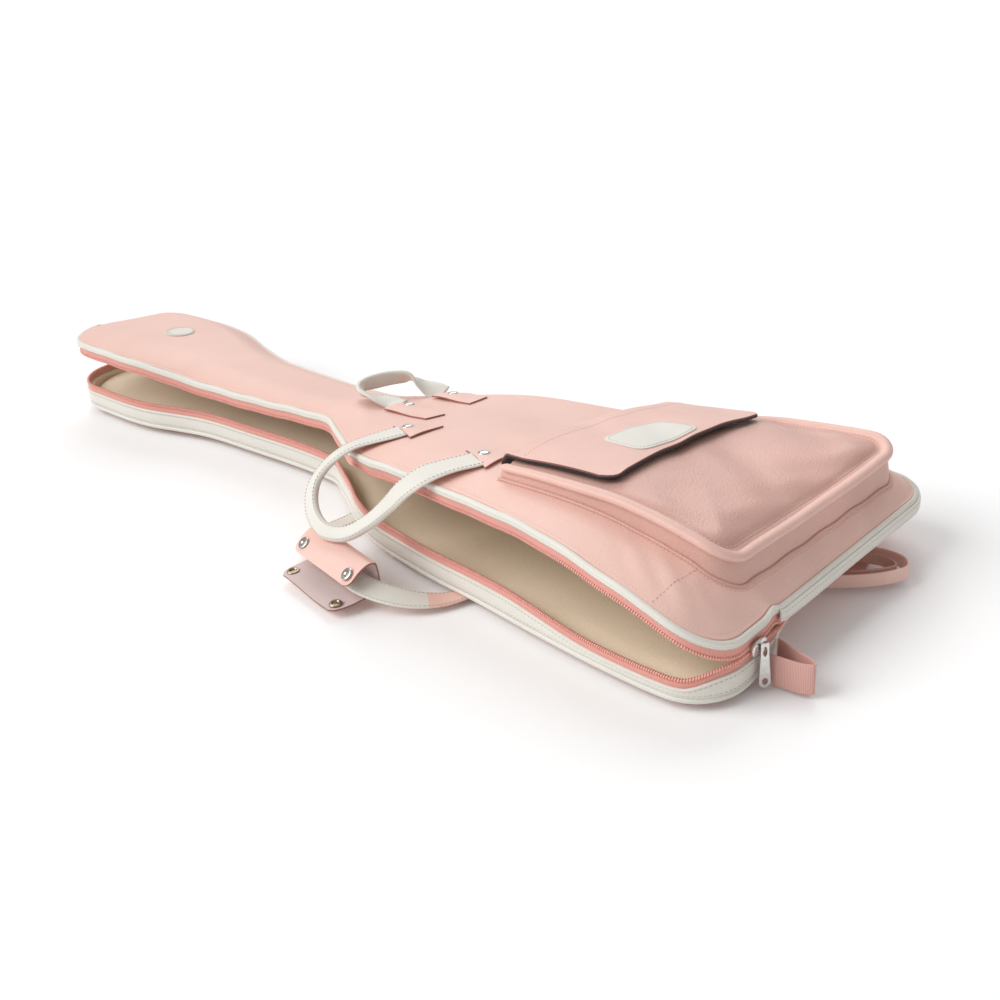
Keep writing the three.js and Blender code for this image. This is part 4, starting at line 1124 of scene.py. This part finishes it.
def handle_tab(name, rivet, corners):
    """A leather tab over a handle's end, swollen over the strap, with a domed rivet."""
    a, b, c, d = (np.array(p, float) for p in corners)
    s = np.linspace(0, 1, 25)[:, None, None]
    t = np.linspace(0, 1, 25)[None, :, None]
    flat = (a * (1 - s) + b * s) * (1 - t) + (d * (1 - s) + c * s) * t
    x, y = flat[..., 0], flat[..., 1]
    over = np.exp(-((x - rivet[0]) / 24)**2 - ((y - rivet[1] + 6) / 20)**2)
    dent = 1.2 * np.exp(-((x - rivet[0])**2 + (y - rivet[1])**2) / 90)
    foot = skin_z(x, y) + 0.2 + TAB_SWELL * over - dent
    tab = slab(name + "_tab_leather", stacked(x, y, foot + 2.0), stacked(x, y, foot), [PINK, CUT_EDGE],
               "lid", edge_look=1)
    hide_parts(name + "_tab")
    up = normals_of(skin_z, np.array(rivet[0], float), np.array(rivet[1], float))
    place = (*rivet, float(skin_z(*rivet)) + 1.0 + TAB_SWELL * math.exp(-36 / 400))
    stud = lathe(name + "_rivet_head", RIVET_PROFILE, place, up, NICKEL, "lid")
    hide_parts(name + "_rivet")


handle_tab("near_handle_head", (110, -81), [(85, -80), (138, -104), (138, -53), (95, -66)])
handle_tab("near_handle_tail", (252, -108), [(227, -109), (275, -131), (274, -75), (238, -93)])
handle_tab("far_handle_head", (27, 0), [(8, -24), (94, -38), (99, -12), (12, 22)])
handle_tab("far_handle_tail", (33, 68), [(14, 50), (85, 43), (78, 81), (18, 84)])

# Handle on the back, with its open snap wrap.
WRAP_TURN = -0.21
wrap_along = np.array([math.cos(WRAP_TURN), math.sin(WRAP_TURN)])
wrap_out = np.array([math.sin(WRAP_TURN), -math.cos(WRAP_TURN)])


def wrap_point(u, v):
    """Plan position of a point u along the wrap and v out from the handle."""
    place = np.array([140, -230]) + wrap_along * u + wrap_out * v
    return float(place[0]), float(place[1])


def in_wrap(u):
    return (*wrap_point(u, 0), 25, wrap_out[0], wrap_out[1], -0.4)


back_stops = [
    (268, -106, 6.2, 1, 0, 0), (268, -121, 5.9, 1, 0, 0), (269, -150, 5.9, 1, 0, 0),
    (265, -180, 6.5, 0.95, -0.3, 0), (256, -201, 9.5, 0.6, -0.8, -0.1), (239, -220, 14, 0.2, -0.95, -0.2),
    (216, -234, 20, -0.1, -0.95, -0.3), *(in_wrap(u) for u in (52, 26, 0, -26, -52)),
    (66, -206, 21, -0.4, -0.85, -0.35), (48, -182, 14, -0.8, -0.6, -0.2), (41, -150, 8, -0.95, -0.2, 0),
    (41, -120, 5.9, -1, 0, 0), (41, -103, 5.9, -1, 0, 0), (41, -90, 6.2, -1, 0, 0),
]
back_parts = strap("back_handle_strap", back_stops, (24, 3.0), (24, 3.4), None)
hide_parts("back_handle")
TURNS_OVER = 252                          # beyond this x it shows its pink face, under the bag
turned_over = int(np.argmax(back_parts[1][:, 0] < TURNS_OVER)) * STRAP_SIDES
for face in back_parts[0].data.polygons:
    if face.index < turned_over:
        face.material_index = 1
back_seams = [strap_stitches(f"back_handle_stitches_{tag}", back_parts, share, 1.0, None)
              for tag, share in (("a", 0.8), ("b", -0.8))]
bends((back_parts[0], *back_seams))


def wrap_half(name, line, looks, body, reach=58.0):
    """Half of the wrap: a curved leather sheet with rounded outer corners."""
    path = spline([(v, z, 0) for v, z in line], 33)[:, :2]
    ahead = tangents(path)
    normal = np.column_stack([-ahead[:, 1], ahead[:, 0]])
    s = np.linspace(-1, 1, 49)
    top, bottom = [], []
    for k, (point, n) in enumerate(zip(path, normal)):
        past = max(0.0, (k - 25) / 7)
        half = reach - 9 * (1 - math.sqrt(max(0.0, 1 - past * past)))
        wave = 1.2 * np.sin(s * 3.1 + k / 9) * smoothstep(k, 8, 32)
        for rows, off in ((top, 1.0), (bottom, -1.0)):
            rows.append([(*wrap_point(u, point[0] + n[0] * (off + w)), point[1] + n[1] * (off + w))
                         for u, w in zip(s * half, wave)])
    return slab(name, top, bottom, looks, body, edge_look=1, under_look=2)


SPINE = -15.6
upper_line = [(SPINE, 46.6), (-8, 48.5), (5, 44), (20, 31)]
upper = wrap_half("wrap_upper_leather", upper_line, [PINK, CUT_EDGE, SUEDE], "wrap_top")
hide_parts("wrap_upper")
lower_line = [(SPINE, 45.4), (SPINE - 1.6, 32), (SPINE, 18), (2, 13), (41, 9.8)]
lower = wrap_half("wrap_lower_leather", lower_line, [SUEDE, CUT_EDGE, PINK], "back_grip")
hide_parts("wrap_lower")

STUD_PROFILE = [(6.2, -0.6), (7.2, 0.0), (7.2, 0.9), (6.4, 1.6), (4.4, 1.8), (3.9, 1.2), (3.2, 1.2),
                (2.8, 3.4), (1.8, 4.0), (0, 4.1)]
SOCKET_PROFILE = [(6.4, -0.5), (7.0, 0.2), (7.0, 1.2), (6.2, 2.0), (4.6, 2.2), (3.6, 1.4), (3.2, 0.4),
                  (0, 0.4)]
STUD_TILT = (*(wrap_out * 0.66), 0.75)
for i, u in ((1, -46), (2, 46)):
    stud = lathe(f"wrap_snap_{i}", STUD_PROFILE, (*wrap_point(u, 12.5), 40.2), STUD_TILT, SNAP, "wrap_top")
    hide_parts(f"wrap_stud_{i}")
    socket = lathe(f"wrap_socket_ring_{i}", SOCKET_PROFILE, (*wrap_point(u, 30), 11.9), (0, 0, 1), BRASS,
                   "back_grip")
    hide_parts(f"wrap_socket_{i}")

# ---------------------------------------------------------------- zip slider and pull
SLIDER = np.array([TAIL_END + 2.5, -134, 45.0])

SLIDER_LAYERS = [(0.2, 9, 6), (0.6, 11.4, 7.4), (2.6, 12.2, 8.2), (3.6, 12.0, 8.0), (4.4, 10.6, 6.8),
                 (4.7, 8, 4.8), (4.8, 0.2, 0.2)]  # distance outwards, half width and half height
turn = circle(40)
out = squared(turn, 2.4)
slider = swept("slider_body", [np.column_stack([np.full(len(turn), SLIDER[0] + forward),
                                                SLIDER[1] + half_y * np.cos(turn) * out,
                                                SLIDER[2] + half_z * np.sin(turn) * out])
                               for forward, half_y, half_z in SLIDER_LAYERS],
               NICKEL, "slider", "nickel", sharp=45)
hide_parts("zip_slider")
arch = [(4.2, 0, -5.5), (6.4, 0, -4.6), (7.6, 0, -1.5), (7.8, 0, 2.0), (6.6, 0, 4.8), (4.2, 0, 5.6)]
arch = spline(np.array(arch) + SLIDER, 30)
across = np.array([0, 1, 0])
swept("slider_bail", around(arch, across, unit(np.cross(tangents(arch), across)), oval(1.7, 0.8, 10)),
      NICKEL, "slider", "nickel")

PULL = {"neck": 3.4, "neck_end": 12, "tip": 5.4, "length": 44, "thickness": 1.9, "turned": -38}
PULL_PLACE = (604.4, -134.5, 49.3)


def pull_outline():
    """Outline of the pull: a narrow neck that widens to a round end, as (across, down)."""
    neck, tip = PULL["neck"], PULL["tip"]
    round_end = [(tip * math.cos(v), tip - PULL["length"] - tip * math.sin(v))
                 for v in np.linspace(0, np.pi, 26)]
    return [(-neck, 2), (neck, 2), (neck + 0.4, -PULL["neck_end"]), *round_end,
            (-neck - 0.4, -PULL["neck_end"])]


def hole_outline(half_y, half_z, drop):
    """An oval hole `drop` above the pivot of the pull."""
    return [(a, drop + b) for a, b in oval(half_y, half_z, 30)]


def plate_with_holes(name, outline, holes, turned, thickness, place, look, body):
    """A flat metal plate with rounded edges and holes, standing in the Y-Z plane."""
    curve = bpy.data.curves.new(name + "_outline", "CURVE")
    curve.dimensions = "2D"
    curve.fill_mode = "BOTH"
    curve.extrude = thickness / 2000 - 0.0003
    curve.bevel_depth = 0.0003
    curve.bevel_resolution = 2
    for loop in [outline, *holes]:
        line = curve.splines.new("POLY")
        line.points.add(len(loop) - 1)
        for point, (a, b) in zip(line.points, loop):
            point.co = (a / 1000, b / 1000, 0, 1)
        line.use_cyclic_u = True
    holder = bpy.data.objects.new(name + "_outline", curve)
    bpy.context.scene.collection.objects.link(holder)
    bpy.context.view_layer.update()
    mesh = bpy.data.meshes.new_from_object(holder)
    bpy.data.objects.remove(holder)
    upright = Matrix(((0, 0, 1), (1, 0, 0), (0, 1, 0))).to_4x4()
    facing = Matrix.Rotation(math.radians(turned), 4, "Z")
    mesh.transform(Matrix.Translation(Vector(to_row(place))) @ facing @ upright)
    mesh.name = name
    mesh.materials.clear()
    mesh.materials.append(look)
    work = bmesh.new()
    work.from_mesh(mesh)
    bmesh.ops.remove_doubles(work, verts=work.verts, dist=1e-6)
    bmesh.ops.recalc_face_normals(work, faces=work.faces)
    work.to_mesh(mesh)
    work.free()
    made = bpy.data.objects.new(name, mesh)
    bpy.context.scene.collection.objects.link(made)
    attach(made, body)
    return crease(made, 40)


PULL_HOLES = [hole_outline(2.3, 5.4, -6.0), hole_outline(3.0, 3.8, -37.5)]
pull = plate_with_holes("pull_plate", pull_outline(), PULL_HOLES, PULL["turned"], PULL["thickness"],
                        PULL_PLACE, NICKEL, "pull")
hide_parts("zip_pull")

# ---------------------------------------------------------------- webbing, straps and buckles
def ribbon(name, stops, width, thickness, look, body, slot, count=90, sides=14):
    """Flat webbing on a smooth route, with rounded edges."""
    line, side, face = laid_route(stops, count)
    a, b = flat_section(circle(sides) + np.pi / sides, 0.3, 0.6)
    rings = (line[:, None, :] + side[:, None, :] * (a[None, :, None] * width / 2)
             + face[:, None, :] * (b[None, :, None] * thickness / 2))
    made = swept(name, rings, look, body, slot)
    values = np.zeros((count, sides, 3), np.float32)
    steps = np.linalg.norm(np.diff(line, axis=0), axis=1)
    values[..., 0] = np.concatenate([[0], np.cumsum(steps)])[:, None] / 1000
    values[..., 1] = a[None, :] * width / 2000
    made.data.attributes["along"].data.foreach_set("vector", values.ravel())
    return made


def standing(points, lean=0.0):
    """Stops of a strap that stands on its edge."""
    return [(x, y, z, 0, lean, 1) for x, y, z in points]


loop_stops = [(596, -99, 19), (608, -103, 19.5), (624, -109, 20), (640, -114, 21), (645, -119, 21),
              (638, -123, 20.5), (620, -125, 20), (600, -124, 19), (595, -123, 19)]
loop = ribbon("corner_webbing", standing(loop_stops, 0.08), 31, 1.9, WEBBING, "back_shell",
              "pink_webbing")
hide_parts("corner_loop")
outer_stops = [(556, 108, 17), (588, 118, 17), (612, 113, 17), (620, 100, 17), (612, 82, 17),
               (592, 62, 16), (560, 38, 16)]
outer = ribbon("far_strap_end", standing(outer_stops), 15, 2.2, PINK, "back_shell", "pink_webbing")
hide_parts("far_strap_loop")
# The inner loop takes the darker grained pink, partly painted shade.
inner_stops = [(562, 99, 17), (590, 107, 17), (606, 102, 17), (609, 96, 17), (600, 82, 17),
               (584, 68, 16), (562, 54, 16)]
inner = ribbon("far_strap_end_inner", standing(inner_stops), 13, 2.2, PINK_GRAIN_SHADED, "back_shell",
               "pink_webbing")
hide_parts("far_strap_inner_loop")

LANE = 38                                 # each shoulder strap's distance from the middle of the back
PAD = {"half": 28, "middle": 3.0, "steps": 120, "quilts": 9}
ANCHOR = {"from": -92, "to": -44, "half": 25, "points": 17}
DOWN = np.array([0, 0, -1.0])


def shoulder_pad(side_name, lane):
    """A quilted pad with rounded ends, sewn near both edges."""
    route = spline([(-40, lane * 0.86, 0), (120, lane, 0), (300, lane * 1.2, 0)], PAD["steps"])[:, :2]
    ahead = tangents(route)
    across = np.column_stack([-ahead[:, 1], ahead[:, 0]])
    run = np.linspace(0, 1, PAD["steps"])
    half = PAD["half"] * (np.sqrt(np.clip(np.minimum(run, 1 - run) / 0.05, 0, 1)) * 0.35 + 0.65)
    share = np.linspace(-1, 1, 25)
    plan = route[:, None, :] + across[:, None, :] * (share[None, :] * half[:, None])[..., None]
    crown_pad = (1 - np.abs(share)**3.0)[None, :] * np.ones((PAD["steps"], 1))
    quilt = 0.5 * np.cos(run * 2 * np.pi * PAD["quilts"])[:, None] * (1 - np.abs(share))[None, :]
    upper_z = PAD["middle"] + 1.6 + 3.0 * crown_pad
    lower_z = np.maximum(PAD["middle"] - (2.6 * crown_pad + quilt * 0.4), 0.05)
    pad = slab(f"shoulder_pad_{side_name}", np.concatenate([plan, upper_z[..., None]], axis=-1),
               np.concatenate([plan, lower_z[..., None]], axis=-1), PINK, "back_shell")
    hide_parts(f"shoulder_strap_{side_name}")
    for tag, edge_share in (("a", -0.86), ("b", 0.86)):
        line = route + across * (edge_share * half)[:, None]
        z = np.full(len(line), PAD["middle"] - 2.6 * (1 - abs(edge_share)**3) - 0.1)
        stitches(f"shoulder_pad_{side_name}_stitches_{tag}", np.column_stack([line, z]), DOWN,
                 CREAM_THREAD, "back_shell", "pink_leather", radius=0.35)


def strap_web(side_name, lane, sign):
    """The webbing from a shoulder pad to the tail."""
    stops = [(345, lane * 1.3, 4.8, 0, 1, 0), (450, lane * 1.9, 4.8, -0.2 * sign, 1, 0),
             (575, sign * 100, 4.8, -0.25 * sign, 1, 0)]
    web = ribbon(f"strap_web_{side_name}", stops, 37.5, 2.0, WEBBING, "back_shell", "pink_webbing")
    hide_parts(f"strap_webbing_{side_name}")


def strap_tab(side_name, lane):
    """The leather anchor that holds a shoulder strap's upper end, with its box of stitches."""
    count = ANCHOR["points"]
    x = np.repeat(np.linspace(ANCHOR["from"], ANCHOR["to"], count)[:, None], count, axis=1)
    slant = lane * (0.82 + 0.04 * (x - ANCHOR["from"]) / (ANCHOR["to"] - ANCHOR["from"]))
    y = slant + np.linspace(-ANCHOR["half"], ANCHOR["half"], count)[None, :]
    bow = 0.8 * np.cos(np.linspace(-1.4, 1.4, count))[None, :]
    tab = slab(f"strap_tab_{side_name}", stacked(x, y, 6.9 + bow + 0 * x), stacked(x, y, 4.2 - bow + 0 * x),
               [PINK, CUT_EDGE], "back_shell", edge_look=1)
    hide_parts(f"strap_anchor_{side_name}")
    box = np.array([(-87, -20), (-50, -20), (-50, 20), (-87, 20), (-87, -20), (-50, 20)], float)
    box = resample(box + (0, lane * 0.84), 4)
    stitches(f"strap_tab_{side_name}_stitches", np.column_stack([box, np.full(len(box), 3.5)]), DOWN,
             CREAM_THREAD, "back_shell", "pink_leather", radius=0.4)


for side_name, sign in (("near", -1), ("far", 1)):
    shoulder_pad(side_name, sign * LANE)
    strap_web(side_name, sign * LANE, sign)
    strap_tab(side_name, sign * LANE)

# The ladder buckles, and the tabs and rivets under the back, keep their CAD shapes.
keep = {"strap_buckle_near": BLACK_PLASTIC, "strap_buckle_far": BLACK_PLASTIC,
        "back_handle_head_tab": PINK, "back_handle_tail_tab": PINK,
        "back_handle_head_rivet": NICKEL, "back_handle_tail_rivet": NICKEL}
for node, look in keep.items():
    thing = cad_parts[node]
    thing.data.materials.clear()
    thing.data.materials.append(look)

low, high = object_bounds()
